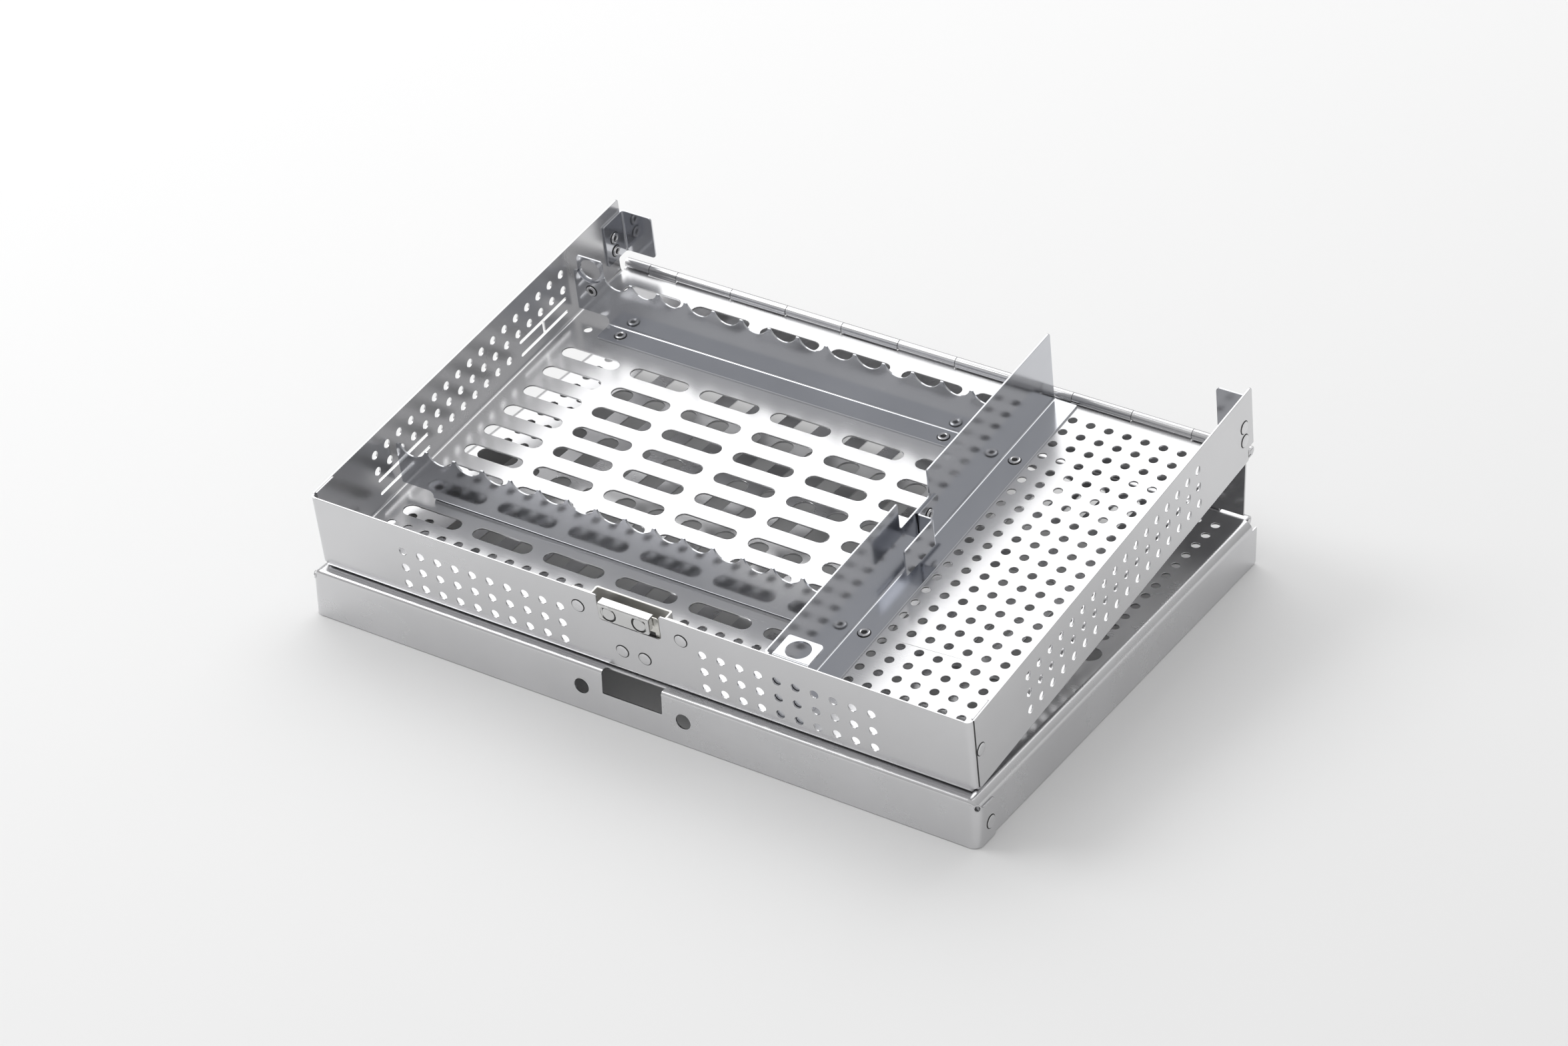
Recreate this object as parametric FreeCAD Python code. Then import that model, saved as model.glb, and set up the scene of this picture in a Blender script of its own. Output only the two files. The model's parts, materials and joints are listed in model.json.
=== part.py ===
import FreeCAD, Part
import math
import os

# Folding-lid sterilization cassette, opened flat out: the lid lies under the tray, joined to it by a
# hinged spine panel. +X right, +Y rear, +Z up, millimetres. The origin is the middle of the object's
# base on the table. The tray is drawn in its own frame (y = 0 and z = barrel_r at the spine hinge,
# z = 0 under the floor, front at -Y) and is set tilted on the lid by on_lid().

# sheet and folds
sheet = 0.8
fold_r = 2.0              # outside radius of the tray's folds
side_fold_r = 3.8         # outside radius of the lid's long folds
corner_r = 3.0            # outside radius of the upright corner folds
tab_len = 11.4            # corner tab beyond its fold
corner_relief = 0.4       # corner tab's foot over the floor's fold
over = 0.01               # cutting solids run this far past the face they cut
tiny = 1e-6

# tray
tray_w = 280.0
tray_d = 203.6            # hinge axis to front face
wall_h = 32.8
rear_cut_h = 7.0          # side wall is cut back over the hinge below this height
rear_cut = 4.5
side_end_gap = 0.2        # side wall's upper end in front of the hinge axis
corner_rivet_in = 4.9
corner_rivet_z = 17.8

# lid and the room it leaves round the closed tray
side_gap = 1.2
front_gap = 1.1
lid_gap = 1.1             # over the tray's rim when closed
lid_h = 20.0
rest_gap = 0.25           # tray's front fold over the lid when opened out
lid_tab_len = 8.0
lid_tab_gap = 0.2         # tab's upper edge over the end of the side's fold
lid_side_start = 3.5      # lid's side wall behind its front face
lid_bend_over = 1.5       # side's fold in front of its wall
lid_front_bend_in = 1.0   # front's fold short of the corner turns
lid_side_back = 0.7       # side wall beyond the hinge axis
lid_rivet_in = 8.4
lid_rivet_z = 7.5

# hinges
barrel_r = 2.0
pin_r = 1.15
pin_clear = 0.05
barrel_sides = 12
bore_sides = 8
hinge_end_gap = 0.2       # barrels' end inside the tray's walls
knuckle_len = 25.5
knuckle_gap = 0.3
knuckle_end = 3.0         # least length of an end knuckle
barrel_relief = 0.9       # sheet edge clear of the other leaf's knuckles
spine_side_gap = 1.6      # spine panel's end inside the tray's wall

# perforation
pitch = 7.7
hole_r = 1.75
hole_sides = 4
hole_margin = 7.0         # nearest hole's centre to a fold
first_row = -11.0         # hinge axis to the right compartment's first row
first_col = 2.3           # its first column right of the partition's foot
rear_rack_row = 20.7      # nearest slot rows' centres to the racks
front_rack_row = 18.5
front_slot_gap = 8.2      # front rack to the slot row in front of it
front_hole_gap = 17.3     # front rack to the hole row in front of it
front_row_left = 6.4      # that row's ends inside the rack's ends
front_row_right = 4.0
ear_hole_gap = 5.8        # rear rack to the single hole in front of its ear
rear_slot_y = -14.0
slot_x = -118.3
side_start = 38.2         # side wall's first hole behind the front face
side_end = -42.0
side_top_gap = 8.5        # rim to the top row of holes
front_top_gap = 11.5
front_first_x = 30.2
front_end_gap = 40.0      # front wall's last hole inside the side wall
h_cut_z = 9.05
h_cut_rear = 20.4         # rear rack to the middle of the H cut in front of it
h_cut_front = 5.3         # front rack to the middle of the H cut behind it
slot_len = 26.0
slot_w = 6.2
slot_pitch_x = 32.0
slot_pitch_y = 13.25
lid_slot_w = 8.0
lid_slot_pitch_x = 14.8
lid_slot_pitch_y = 32.0
lid_edge_col = 11.1       # lid's outer column of holes inside its side
lid_row_gap = 11.6        # hinge axis to the lid's first row of holes
lid_slot_rear = 23.5      # hinge axis to the lid's first row of slots
lid_slot_front = 21.0
lid_slot_side = 30.9
lid_hole_front = 15.0     # lid's front face to its last row of holes
side_slot_len = 17.0
side_slot_w = 9.0
side_slot_in = 14.6
side_slot_forward = 5.15  # lid's side slots in front of the middle of its top
h_slot_len = 32.0
h_slot_w = 1.5
h_slot_gap = 6.1

# partition
part_x = 57.1             # right face of the partition
part_h = 32.4
part_flange = 10.0
part_front_gap = 0.2
part_rear = 3.0
part_end_low = 3.0        # end flange's foot over the partition's base
part_tab_drop = 0.5       # tab under the tray's rim
part_rivet_rear = 5.3     # foot's rivets in front of the rear rack, behind the front rack
part_rivet_front = 5.7
notch_y = -103.0
notch_w = 21.0
notch_z = 20.4
clip_low = 7.8
clip_top = 19.2
clip_stand = 6.4          # clip blade off the partition
clip_fold_r = 1.3
clip_bend = 0.6           # clip's bend behind the notch's middle
clip_base = 14.5
clip_free = 20.8
clip_rivet_back = 7.6
clip_rivet_z = 14.2
tab_w = 14.8
tab_d = 12.2
tab_in = 3.0              # tab's left edge right of the partition
tab_corner = 2.0
tab_hole_back = 0.3       # eye behind the tab's middle
tab_hole_r = 4.6
part_fold_r = 1.6

# racks
rack_h = 23.8
rack_flange = 10.0
rear_rack_y = -36.6       # front face of the rear rack
front_rack_y = 48.2 - tray_d   # front face of the front rack
rack_rivet_in = 22.2
rack_rivet_out = 25.3
rack_land = 1.6           # rack's end to its first scallop
scallop_pitch = 12.7
scallop_r = 6.0
scallop_depth = 4.3
scallop_facets = 4
rack_side_gap = 1.2
toe_len = 14.0            # relief along the fold at the rack's left end
toe_h = 4.2
toe_round = 1.6
ear_w = 12.0
ear_h = 30.6
ear_hole_r = 4.6
ear_low = 9.0
ear_eye_z = 25.2
ear_rivet_z = 15.6
eye_sides = 16

# corner brackets
bracket_z = 7.9
bracket_h = 19.2
bracket_leg = 12.6
bracket_flange = 14.4
bracket_fold_r = 1.6
bracket_gap = 0.2         # flange face to the closed spine panel
bracket_rivet_y = -6.9
bracket_rivet_z = (12.4, 18.6)

# latch
notch_half = 13.2
notch_bottom = 21.8
guard_half = 16.2
guard_depth = 4.4
guard_z = 15.0
guard_ear = 9.0
guard_drop = 0.3          # guard's top under the tray's rim
spring_t = 0.5
spring_gap = 0.25
spring_half = 12.2
spring_foot_half = 9.0
spring_foot_z = 6.9
spring_neck_z = 14.5      # leaf widens from here
spring_wide_z = 18.0
spring_top_z = 30.3
button_half = 10.75
button_out = 2.9
button_low = 25.7
button_top = 32.5
button_chamfer = 1.2
button_back_gap = 0.1     # button's back in front of the wall's inner face
spring_play = 0.6         # leaf to the eyelets that hold its foot
spring_hole_clear = 0.4
stud_x = 6.55
stud_z = 28.6
stud_r = 2.7
stud_hole_r = 2.85
stud_shoulder_r = 3.05
stud_foot_r = 2.0
stud_foot_h = 0.2
guard_rivet_x = 21.8
guard_rivet_z = 24.9
spring_rivet_x = 4.8
spring_rivet_z = 9.9
cut_clear_x = 2.0
cut_clear_z = 0.9
cut_top_depth = 3.2
lid_hole_clear = 0.65

# rivets
rivet_r = 1.4
head_r = 2.45
head_h = 0.55
rivet_sides = 6
eye_r = 2.2
eye_h = 0.7
eye_hole_r = 0.9

lid_w = tray_w + 2 * (side_gap + sheet)
axis_y = tray_d + front_gap + sheet            # spine hinge from the lid's front face
spine_len = wall_h + lid_gap + sheet - 2 * barrel_r
tilt = math.degrees(math.asin((spine_len - barrel_r - fold_r - rest_gap) / (tray_d - fold_r)))
# the latch button's upper edge stands out in front of the lid
lean = math.radians(tilt)
front_reach = ((tray_d + button_out) * math.cos(lean)
               + (button_top - button_chamfer - barrel_r) * math.sin(lean) - axis_y)
lid_front = -(axis_y + barrel_r - front_reach) / 2.0
hinge_y = lid_front + axis_y
lid_axis_z = lid_h - barrel_r
tray_axis_z = lid_axis_z + spine_len

V = FreeCAD.Vector
UP_FRONT = FreeCAD.Rotation(V(1, 0, 0), 90)    # drawn x, y -> X, Z; thickness towards -Y
UP_SIDE = FreeCAD.Rotation(V(1, 1, 1), 120)    # drawn x, y -> Y, Z; thickness towards +X


def solid(face, thick, at=(0, 0, 0), turn=None):
    body = face.extrude(V(0, 0, thick))
    body.Placement = FreeCAD.Placement(V(*at), turn or FreeCAD.Rotation())
    return body


def wire(points):
    pts = [V(x, y, 0) for x, y in points]
    return Part.makePolygon(pts + pts[:1])


def flat(points, holes=()):
    face = Part.Face([wire(points)] + list(holes))
    face.validate()
    return face


def box_pts(x0, y0, x1, y1):
    return [(x0, y0), (x1, y0), (x1, y1), (x0, y1)]


def hole(x, y, r=hole_r, sides=hole_sides):
    turn = math.pi / sides
    return wire([(x + r * math.cos(turn + 2 * math.pi * k / sides),
                  y + r * math.sin(turn + 2 * math.pi * k / sides)) for k in range(sides)])


def slot(x, y, length, width, upright=False):
    """Slot with pointed ends, centred on x, y."""
    half, r = length / 2.0, width / 2.0
    pts = [(half, 0), (half - r, r), (r - half, r), (-half, 0), (r - half, -r), (half - r, -r)]
    return wire([(x - v, y + u) if upright else (x + u, y + v) for u, v in pts])


def steps(first, last, step):
    """Places a step apart from first towards last, none beyond last."""
    count = int(abs(last - first) / step + tiny) + 1
    way = 1 if last > first else -1
    return [first + way * step * k for k in range(count)]


def ring_face(cx, cy, r_in, r_out, a0, a1):
    """Part of a ring between two angles, drawn in the plane."""
    def at(r, a):
        return V(cx + r * math.cos(math.radians(a)), cy + r * math.sin(math.radians(a)), 0)
    mid = (a0 + a1) / 2.0
    outer = Part.Arc(at(r_out, a0), at(r_out, mid), at(r_out, a1)).toShape()
    inner = Part.Arc(at(r_in, a1), at(r_in, mid), at(r_in, a0)).toShape()
    ends = [Part.makeLine(at(r_out, a1), at(r_in, a1)), Part.makeLine(at(r_in, a0), at(r_out, a0))]
    return Part.Face(Part.Wire([outer, ends[0], inner, ends[1]]))


def joined(pieces):
    return pieces[0].multiFuse(pieces[1:])


def mirrored(shape):
    return shape.mirror(V(0, 0, 0), V(1, 0, 0))


def stub(r, length, at, direction, sides=rivet_sides):
    """Many-sided rod for rivets, studs and pins."""
    turn = FreeCAD.Rotation(V(0, 0, 1), V(*direction))
    return solid(Part.Face(hole(0, 0, r, sides)), length, at, turn)


def rivet(at, direction, grip, foot=True, head=head_r):
    """Flat-headed rivet: head outside at the given point, rolled eyelet on the far side."""
    x, y, z = at
    dx, dy, dz = direction
    body = stub(rivet_r, grip, at, direction).fuse(stub(head, head_h, at, (-dx, -dy, -dz)))
    if foot:
        far = (x + dx * grip, y + dy * grip, z + dz * grip)
        eye = stub(eye_r, eye_h, far, direction).cut(stub(eye_hole_r, eye_h, far, direction))
        body = body.fuse(eye)
    return body


def eyelet(x, y, low, grip):
    """Rivet standing through the floor with its rolled eyelet on top."""
    return rivet((x, y, low), (0, 0, 1), grip, head=eye_r)


def knuckle_spans(own):
    """X spans of one leaf's knuckles: the outer leaf has the odd ones, the spine the even ones."""
    half = knuckle_len / 2.0
    edges = [-hinge_half, -knuckle_len * knuckles_mid / 2.0 - half]
    edges += [knuckle_len * (k - knuckles_mid / 2.0) for k in range(knuckles_mid + 1)]
    edges += [-edges[1], -edges[0]]
    first = 0 if own else 1
    return [(edges[k] + knuckle_gap / 2.0, edges[k + 1] - knuckle_gap / 2.0)
            for k in range(first, len(edges) - 1, 2)]


def toothed(front, rear, edge, spans, low, high):
    """Outline running along X whose rear edge has teeth at the spans, back to a common edge."""
    pts = [(low, front), (high, front), (high, edge)]
    for x0, x1 in reversed(spans):
        pts += [(x1, edge), (x1, rear), (x0, rear), (x0, edge)]
    pts.append((low, edge))
    clean = [pts[0]]
    for p in pts[1:]:
        if abs(p[0] - clean[-1][0]) + abs(p[1] - clean[-1][1]) > tiny:
            clean.append(p)
    return clean


def knuckles(spans, y, z):
    turns = [2 * math.pi * k / barrel_sides for k in range(barrel_sides)]
    outline = [(y + barrel_r * math.cos(a), z + barrel_r * math.sin(a)) for a in turns]
    bore_r = (pin_r + pin_clear) / math.cos(math.pi / bore_sides)
    face = flat(outline, [hole(y, z, bore_r, bore_sides)])
    return [solid(face, x1 - x0, (x0, 0, 0), UP_SIDE) for x0, x1 in spans]


def on_lid(shape):
    """Set a piece of the tray, drawn in the tray's frame, tilted on the lid."""
    shape.translate(V(0, 0, -barrel_r))
    shape.rotate(V(0, 0, 0), V(1, 0, 0), tilt)
    shape.translate(V(0, hinge_y, tray_axis_z))
    return shape


# tray
half_w = tray_w / 2.0
inner_w = half_w - sheet
front_y = -tray_d
inner_y = front_y + sheet
spine_half = inner_w - spine_side_gap
hinge_half = inner_w - hinge_end_gap
knuckles_mid = 2 * int((hinge_half - knuckle_end) / knuckle_len - 1) + 1
own_edge = -(barrel_r + barrel_relief)
rack_x0 = -(inner_w - rack_side_gap - sheet)
rack_x1 = part_x - sheet
rack_first_x = rack_x0 + rack_land + scallop_r


def tray_floor():
    holes = [hole(rack_first_x, rear_rack_y - ear_hole_gap)]
    rows = steps(first_row, front_y + hole_margin, pitch)
    for x in steps(part_x + part_flange + first_col, inner_w - hole_margin, pitch):
        holes += [hole(x, y) for y in rows]
    for x in steps(rack_x0 + front_row_left, rack_x1 - front_row_right, pitch):
        holes.append(hole(x, front_rack_y - front_hole_gap))
    rows = steps(rear_rack_y - rear_rack_row, front_rack_y + front_rack_row, slot_pitch_y)
    rows += [front_rack_y - front_slot_gap, rear_slot_y]
    for x in steps(slot_x, rack_x1 - slot_len / 2.0, slot_pitch_x):
        holes += [slot(x, y, slot_len, slot_w) for y in rows]
    outline = toothed(front_y + fold_r, 0, own_edge, knuckle_spans(True), fold_r - half_w, half_w - fold_r)
    return solid(flat(outline, holes), sheet)


def h_cut(y):
    """Two long slits joined by a short one, cut low in the left wall."""
    low, high = h_cut_z - h_slot_gap / 2.0, h_cut_z + h_slot_gap / 2.0
    a, b, w = h_slot_len / 2.0, h_slot_w / 2.0, h_slot_w / 2.0
    upper = [(a, high - b), (a, high + b), (-a, high + b), (-a, high - b)]
    lower = [(-a, low + b), (-a, low - b), (a, low - b), (a, low + b)]
    pts = upper + [(-w, high - b), (-w, low + b)] + lower + [(w, low + b), (w, high - b)]
    return wire([(y + u, z) for u, z in pts])


def tray_side(sign):
    """Side wall: three rows of holes; the left wall gives up part of the low row to two H cuts."""
    cuts = (rear_rack_y - h_cut_rear, front_rack_y + h_cut_front)
    clear = h_slot_len / 2.0 + 2 * hole_r
    holes = []
    for k in range(3):
        for y in steps(front_y + side_start, side_end, pitch):
            if sign > 0 or k < 2 or cuts[1] + clear < y < cuts[0] - clear:
                holes.append(hole(y, wall_h - side_top_gap - pitch * k))
    if sign < 0:
        holes += [h_cut(y) for y in cuts]
    start, end = front_y + corner_r, -side_end_gap
    outline = [(start, fold_r), (-rear_cut, fold_r), (-rear_cut, rear_cut_h), (end, rear_cut_h),
               (end, wall_h), (start, wall_h)]
    wall = solid(flat(outline, holes), sheet, (inner_w, 0, 0), UP_SIDE)
    ring = ring_face(half_w - fold_r, fold_r, fold_r - sheet, fold_r, -90, 0)
    both = wall.fuse(solid(ring, tray_d - corner_r - rear_cut, (0, -rear_cut, 0), UP_FRONT))
    return both if sign > 0 else mirrored(both)


def tray_front():
    holes = []
    for x in steps(front_first_x, half_w - front_end_gap, pitch):
        for k in range(3):
            z = wall_h - front_top_gap - pitch * k
            holes += [hole(x, z), hole(-x, z)]
    end, notch = inner_w - corner_r, notch_half
    outline = [(-end, fold_r), (end, fold_r), (end, wall_h), (notch, wall_h), (notch, notch_bottom),
               (-notch, notch_bottom), (-notch, wall_h), (-end, wall_h)]
    wall = solid(flat(outline, holes), sheet, (0, inner_y, 0), UP_FRONT)
    ring = ring_face(front_y + fold_r, fold_r, fold_r - sheet, fold_r, 180, 270)
    bend = solid(ring, 2 * end, (-end, 0, 0), UP_SIDE)
    low, tab_y = fold_r + corner_relief, front_y + corner_r
    turn = solid(ring_face(end, tab_y, corner_r - sheet, corner_r, -90, 0), wall_h - low, (0, 0, low))
    outline = box_pts(inner_w - sheet, tab_y, inner_w, tab_y + tab_len)
    corner = turn.fuse(solid(flat(outline), wall_h - low, (0, 0, low)))
    return joined([wall, bend, corner, mirrored(corner)])


def tray_shell():
    rings = knuckles(knuckle_spans(True), 0, barrel_r)
    return joined([tray_floor(), tray_side(1), tray_side(-1), tray_front()] + rings)


def tray_corner_rivets():
    one = rivet((half_w, front_y + corner_rivet_in, corner_rivet_z), (-1, 0, 0), 2 * sheet)
    return Part.makeCompound([one, mirrored(one)])


def corner_bracket():
    """Right-hand bracket: leg on the side wall, flange across the back as a stop for the spine."""
    rear_y = barrel_r - sheet - bracket_gap
    x, y = inner_w - bracket_fold_r, rear_y - bracket_fold_r
    at = (0, 0, bracket_z)
    leg = solid(flat(box_pts(inner_w - sheet, -bracket_leg, inner_w, y)), bracket_h, at)
    turn = solid(ring_face(x, y, bracket_fold_r - sheet, bracket_fold_r, 0, 90), bracket_h, at)
    flange = solid(flat(box_pts(inner_w - bracket_flange, rear_y - sheet, x, rear_y)), bracket_h, at)
    return joined([leg, turn, flange])


def bracket_rivets():
    out = []
    for z in bracket_rivet_z:
        one = rivet((half_w, bracket_rivet_y, z), (-1, 0, 0), 2 * sheet)
        out += [one, mirrored(one)]
    return Part.makeCompound(out)


def scalloped_edge():
    """Points along the rack's top edge, from its left corner through the scallops."""
    points = [(rack_x0, rack_h)]
    open_angle = math.acos(1 - scallop_depth / scallop_r)
    low = rack_h - scallop_depth
    for cx in steps(rack_first_x, rack_x1 - scallop_r, scallop_pitch):
        for k in range(scallop_facets + 1):
            angle = open_angle * (2.0 * k / scallop_facets - 1)
            points.append((cx + scallop_r * math.sin(angle), low + scallop_r * (1 - math.cos(angle))))
    return points


def rack(face_y, way):
    """Scalloped instrument rack from the left wall to the partition; its foot folds rearwards for way 1."""
    fold, low = part_fold_r, sheet + part_fold_r
    toe_x, toe_z = rack_x0 + toe_len, sheet + toe_h
    toe = [(rack_x1, rack_h), (rack_x1, low), (toe_x, low), (toe_x, toe_z - toe_round),
           (toe_x - toe_round, toe_z), (rack_x0, toe_z)]
    plate = solid(flat((scalloped_edge() + toe)[::-1]), sheet, (0, face_y + sheet, 0), UP_FRONT)
    run = rack_x1 - toe_x
    if way < 0:
        ring = ring_face(face_y - fold + sheet, low, fold - sheet, fold, -90, 0)
        near, far = face_y + sheet - rack_flange, face_y + sheet - fold
    else:
        ring = ring_face(face_y + fold, low, fold - sheet, fold, 180, 270)
        near, far = face_y + fold, face_y + rack_flange
    foot = solid(flat(box_pts(toe_x, near, rack_x1, far)), sheet, (0, 0, sheet))
    return joined([plate, solid(ring, run, (toe_x, 0, 0), UP_SIDE), foot])


def rack_rivets(face_y, way):
    middle = face_y + (way * rack_flange + sheet) / 2.0
    places = (rack_x0 + rack_rivet_in, rack_x1 - rack_rivet_out)
    return Part.makeCompound([eyelet(x, middle, 0, 2 * sheet) for x in places])


def rack_ear():
    """Plate with a round eye, standing behind the rear rack's first scallop."""
    x = rack_first_x
    outline = box_pts(x - ear_w / 2.0, ear_low, x + ear_w / 2.0, ear_h)
    eye = hole(x, ear_eye_z, ear_hole_r, eye_sides)
    return solid(flat(outline, [eye]), sheet, (0, rear_rack_y + 2 * sheet, 0), UP_FRONT)


def ear_rivet():
    return rivet((rack_first_x, rear_rack_y + 2 * sheet, ear_rivet_z), (0, -1, 0), 2 * sheet, head=eye_r)


def partition():
    """Wall between the two compartments, its foot folded to the right and riveted down."""
    base, fold = sheet, part_fold_r
    left, front, rear = part_x - sheet, inner_y + part_front_gap + part_fold_r, -part_rear
    n0, n1 = notch_y - notch_w / 2.0, notch_y + notch_w / 2.0
    outline = [(front, base + fold), (rear, base + fold), (rear, part_h), (n1, part_h), (n1, notch_z),
               (n0, notch_z), (n0, part_h), (front, part_h)]
    wall = solid(flat(outline), sheet, (left, 0, 0), UP_SIDE)
    ring = ring_face(left + fold, base + fold, fold - sheet, fold, 180, 270)
    turn = solid(ring, rear - front, (0, rear, 0), UP_FRONT)
    foot = solid(flat(box_pts(left + fold, front, part_x + part_flange, rear)), sheet, (0, 0, base))
    return joined([wall, turn, foot] + partition_end(left, front))


def partition_end(left, y):
    """The partition's end flange against the front wall, with the holed tab folded over on top."""
    fold, low, high = part_fold_r, sheet + part_end_low, wall_h - part_tab_drop
    x0, x1 = left + tab_in, left + tab_in + tab_w
    y0 = y - fold
    bend = solid(ring_face(left + fold, y, fold - sheet, fold, 180, 270), part_h - low, (0, 0, low))
    end = solid(flat(box_pts(left + fold, y0, x1, y0 + sheet)), high - fold - low, (0, 0, low))
    roll = solid(ring_face(y, high - fold, fold - sheet, fold, 90, 180), tab_w, (x0, 0, 0), UP_SIDE)
    near = tab_corner * (1 - math.sqrt(0.5))
    outline = [(x0, y), (x1, y), (x1, y0 + tab_d - tab_corner), (x1 - near, y0 + tab_d - near),
               (x1 - tab_corner, y0 + tab_d), (x0, y0 + tab_d)]
    eye = hole((x0 + x1) / 2.0, y0 + tab_d / 2.0 + tab_hole_back, tab_hole_r, eye_sides)
    return [bend, end, roll, solid(flat(outline, [eye]), sheet, (0, 0, high - sheet))]


def partition_rivets():
    x = part_x + part_flange / 2.0
    places = (rear_rack_y - part_rivet_rear, front_rack_y + part_rivet_front)
    return Part.makeCompound([eyelet(x, y, 0, 2 * sheet) for y in places])


def partition_clip():
    """Z-folded strip: base riveted behind the notch, free blade standing off to the right."""
    fold, inner = clip_fold_r, clip_fold_r - sheet
    x0, x1 = part_x, part_x + clip_stand + sheet
    y0 = notch_y + clip_bend
    y1 = y0 + sheet
    faces = [
        flat(box_pts(x0, y0 + fold, x0 + sheet, notch_y + clip_base)),
        ring_face(x0 + fold, y0 + fold, inner, fold, 180, 270),
        flat(box_pts(x0 + fold, y0, x1 - fold, y1)),
        ring_face(x1 - fold, y1 - fold, inner, fold, 0, 90),
        flat(box_pts(x1 - sheet, y1 - clip_free, x1, y1 - fold)),
    ]
    return joined([solid(face, clip_top - clip_low, (0, 0, clip_low)) for face in faces])


def clip_rivet():
    return rivet((part_x - sheet, notch_y + clip_rivet_back, clip_rivet_z), (1, 0, 0), 2 * sheet, head=eye_r)


# latch
def latch_guard():
    """Hat-shaped guard inside the front wall: the button's spring moves in the room it keeps."""
    y0, y1 = inner_y, inner_y + guard_depth
    room, ear = guard_half - sheet, guard_half + guard_ear
    pts = [(-ear, y0), (-room, y0), (-room, y1 - sheet), (room, y1 - sheet), (room, y0), (ear, y0),
           (ear, y0 + sheet), (guard_half, y0 + sheet), (guard_half, y1), (-guard_half, y1),
           (-guard_half, y0 + sheet), (-ear, y0 + sheet)]
    return solid(flat(pts), wall_h - guard_drop - guard_z, (0, 0, guard_z))


def latch_guard_rivets():
    one = rivet((guard_rivet_x, front_y, guard_rivet_z), (0, 1, 0), 2 * sheet)
    return Part.makeCompound([one, mirrored(one)])


def latch_spring_rivets():
    grip = sheet + spring_gap + spring_t + spring_play
    one = rivet((spring_rivet_x, front_y, spring_rivet_z), (0, 1, 0), grip)
    return Part.makeCompound([one, mirrored(one)])


def latch_spring():
    """Spring leaf behind the notch, loose on its two foot rivets and carrying the button."""
    f, w = spring_foot_half, spring_half
    outline = [(-f, spring_foot_z), (f, spring_foot_z), (f, spring_neck_z), (w, spring_wide_z),
               (w, spring_top_z), (-w, spring_top_z), (-w, spring_wide_z), (-f, spring_neck_z)]
    r = rivet_r + spring_hole_clear
    holes = [hole(s * spring_rivet_x, spring_rivet_z, r, rivet_sides) for s in (-1, 1)]
    return solid(flat(outline, holes), spring_t, (0, inner_y + spring_gap + spring_t, 0), UP_FRONT)


def latch_button():
    """Folded cap: front face, sloping top and closed ends, open underneath and behind."""
    y0, y1 = front_y - button_out, inner_y - button_back_gap
    low, top, slope = button_low, button_top, button_chamfer
    outer = [(y0, low), (y0, top - slope), (y0 + slope, top), (y1, top), (y1, low)]
    block = solid(flat(outer), 2 * button_half, (-button_half, 0, 0), UP_SIDE)
    miter = sheet * math.tan(math.pi / 8.0)
    inner = [(y0 + sheet, low - over), (y0 + sheet, top - slope - miter), (y0 + slope + miter, top - sheet),
             (y1 + over, top - sheet), (y1 + over, low - over)]
    room = button_half - sheet
    cap = block.cut(solid(flat(inner), 2 * room, (-room, 0, 0), UP_SIDE))
    for x in (-stud_x, stud_x):
        cap = cap.cut(stub(stud_hole_r, sheet + 2 * over, (x, y0 - over, stud_z), (0, 1, 0)))
    return cap


def latch_button_studs():
    y0 = front_y - button_out
    leaf_y = inner_y + spring_gap
    one = stub(stud_r, sheet, (stud_x, y0, stud_z), (0, 1, 0))
    one = one.fuse(stub(stud_shoulder_r, leaf_y - y0 - sheet, (stud_x, y0 + sheet, stud_z), (0, 1, 0)))
    one = one.fuse(stub(rivet_r, spring_t, (stud_x, leaf_y, stud_z), (0, 1, 0)))
    one = one.fuse(stub(stud_foot_r, stud_foot_h, (stud_x, leaf_y + spring_t, stud_z), (0, 1, 0)))
    return Part.makeCompound([one, mirrored(one)])


# spine panel and lid, drawn where they stand
def spine_panel():
    """Plain panel between the two hinges, standing up behind the lid; its knuckles roll to the rear."""
    y = hinge_y - barrel_r
    low, high = lid_axis_z, tray_axis_z
    spans = knuckle_spans(False)
    edge = barrel_r + barrel_relief
    pts = [(-spine_half, low + edge)]
    for x0, x1 in spans:
        pts += [(x0, low + edge), (x0, low), (x1, low), (x1, low + edge)]
    pts += [(spine_half, low + edge), (spine_half, high - edge)]
    for x0, x1 in reversed(spans):
        pts += [(x1, high - edge), (x1, high), (x0, high), (x0, high - edge)]
    pts.append((-spine_half, high - edge))
    panel = solid(flat(pts), sheet, (0, y + sheet, 0), UP_FRONT)
    return joined([panel] + knuckles(spans, hinge_y, high) + knuckles(spans, hinge_y, low))


lid_half = lid_w / 2.0
cut_half = button_half + cut_clear_x


def lid_slot(x, y):
    half_x, half_y = lid_slot_w / 2.0, slot_len / 2.0
    return wire(box_pts(x - half_x, y - half_y, x + half_x, y + half_y))


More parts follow.
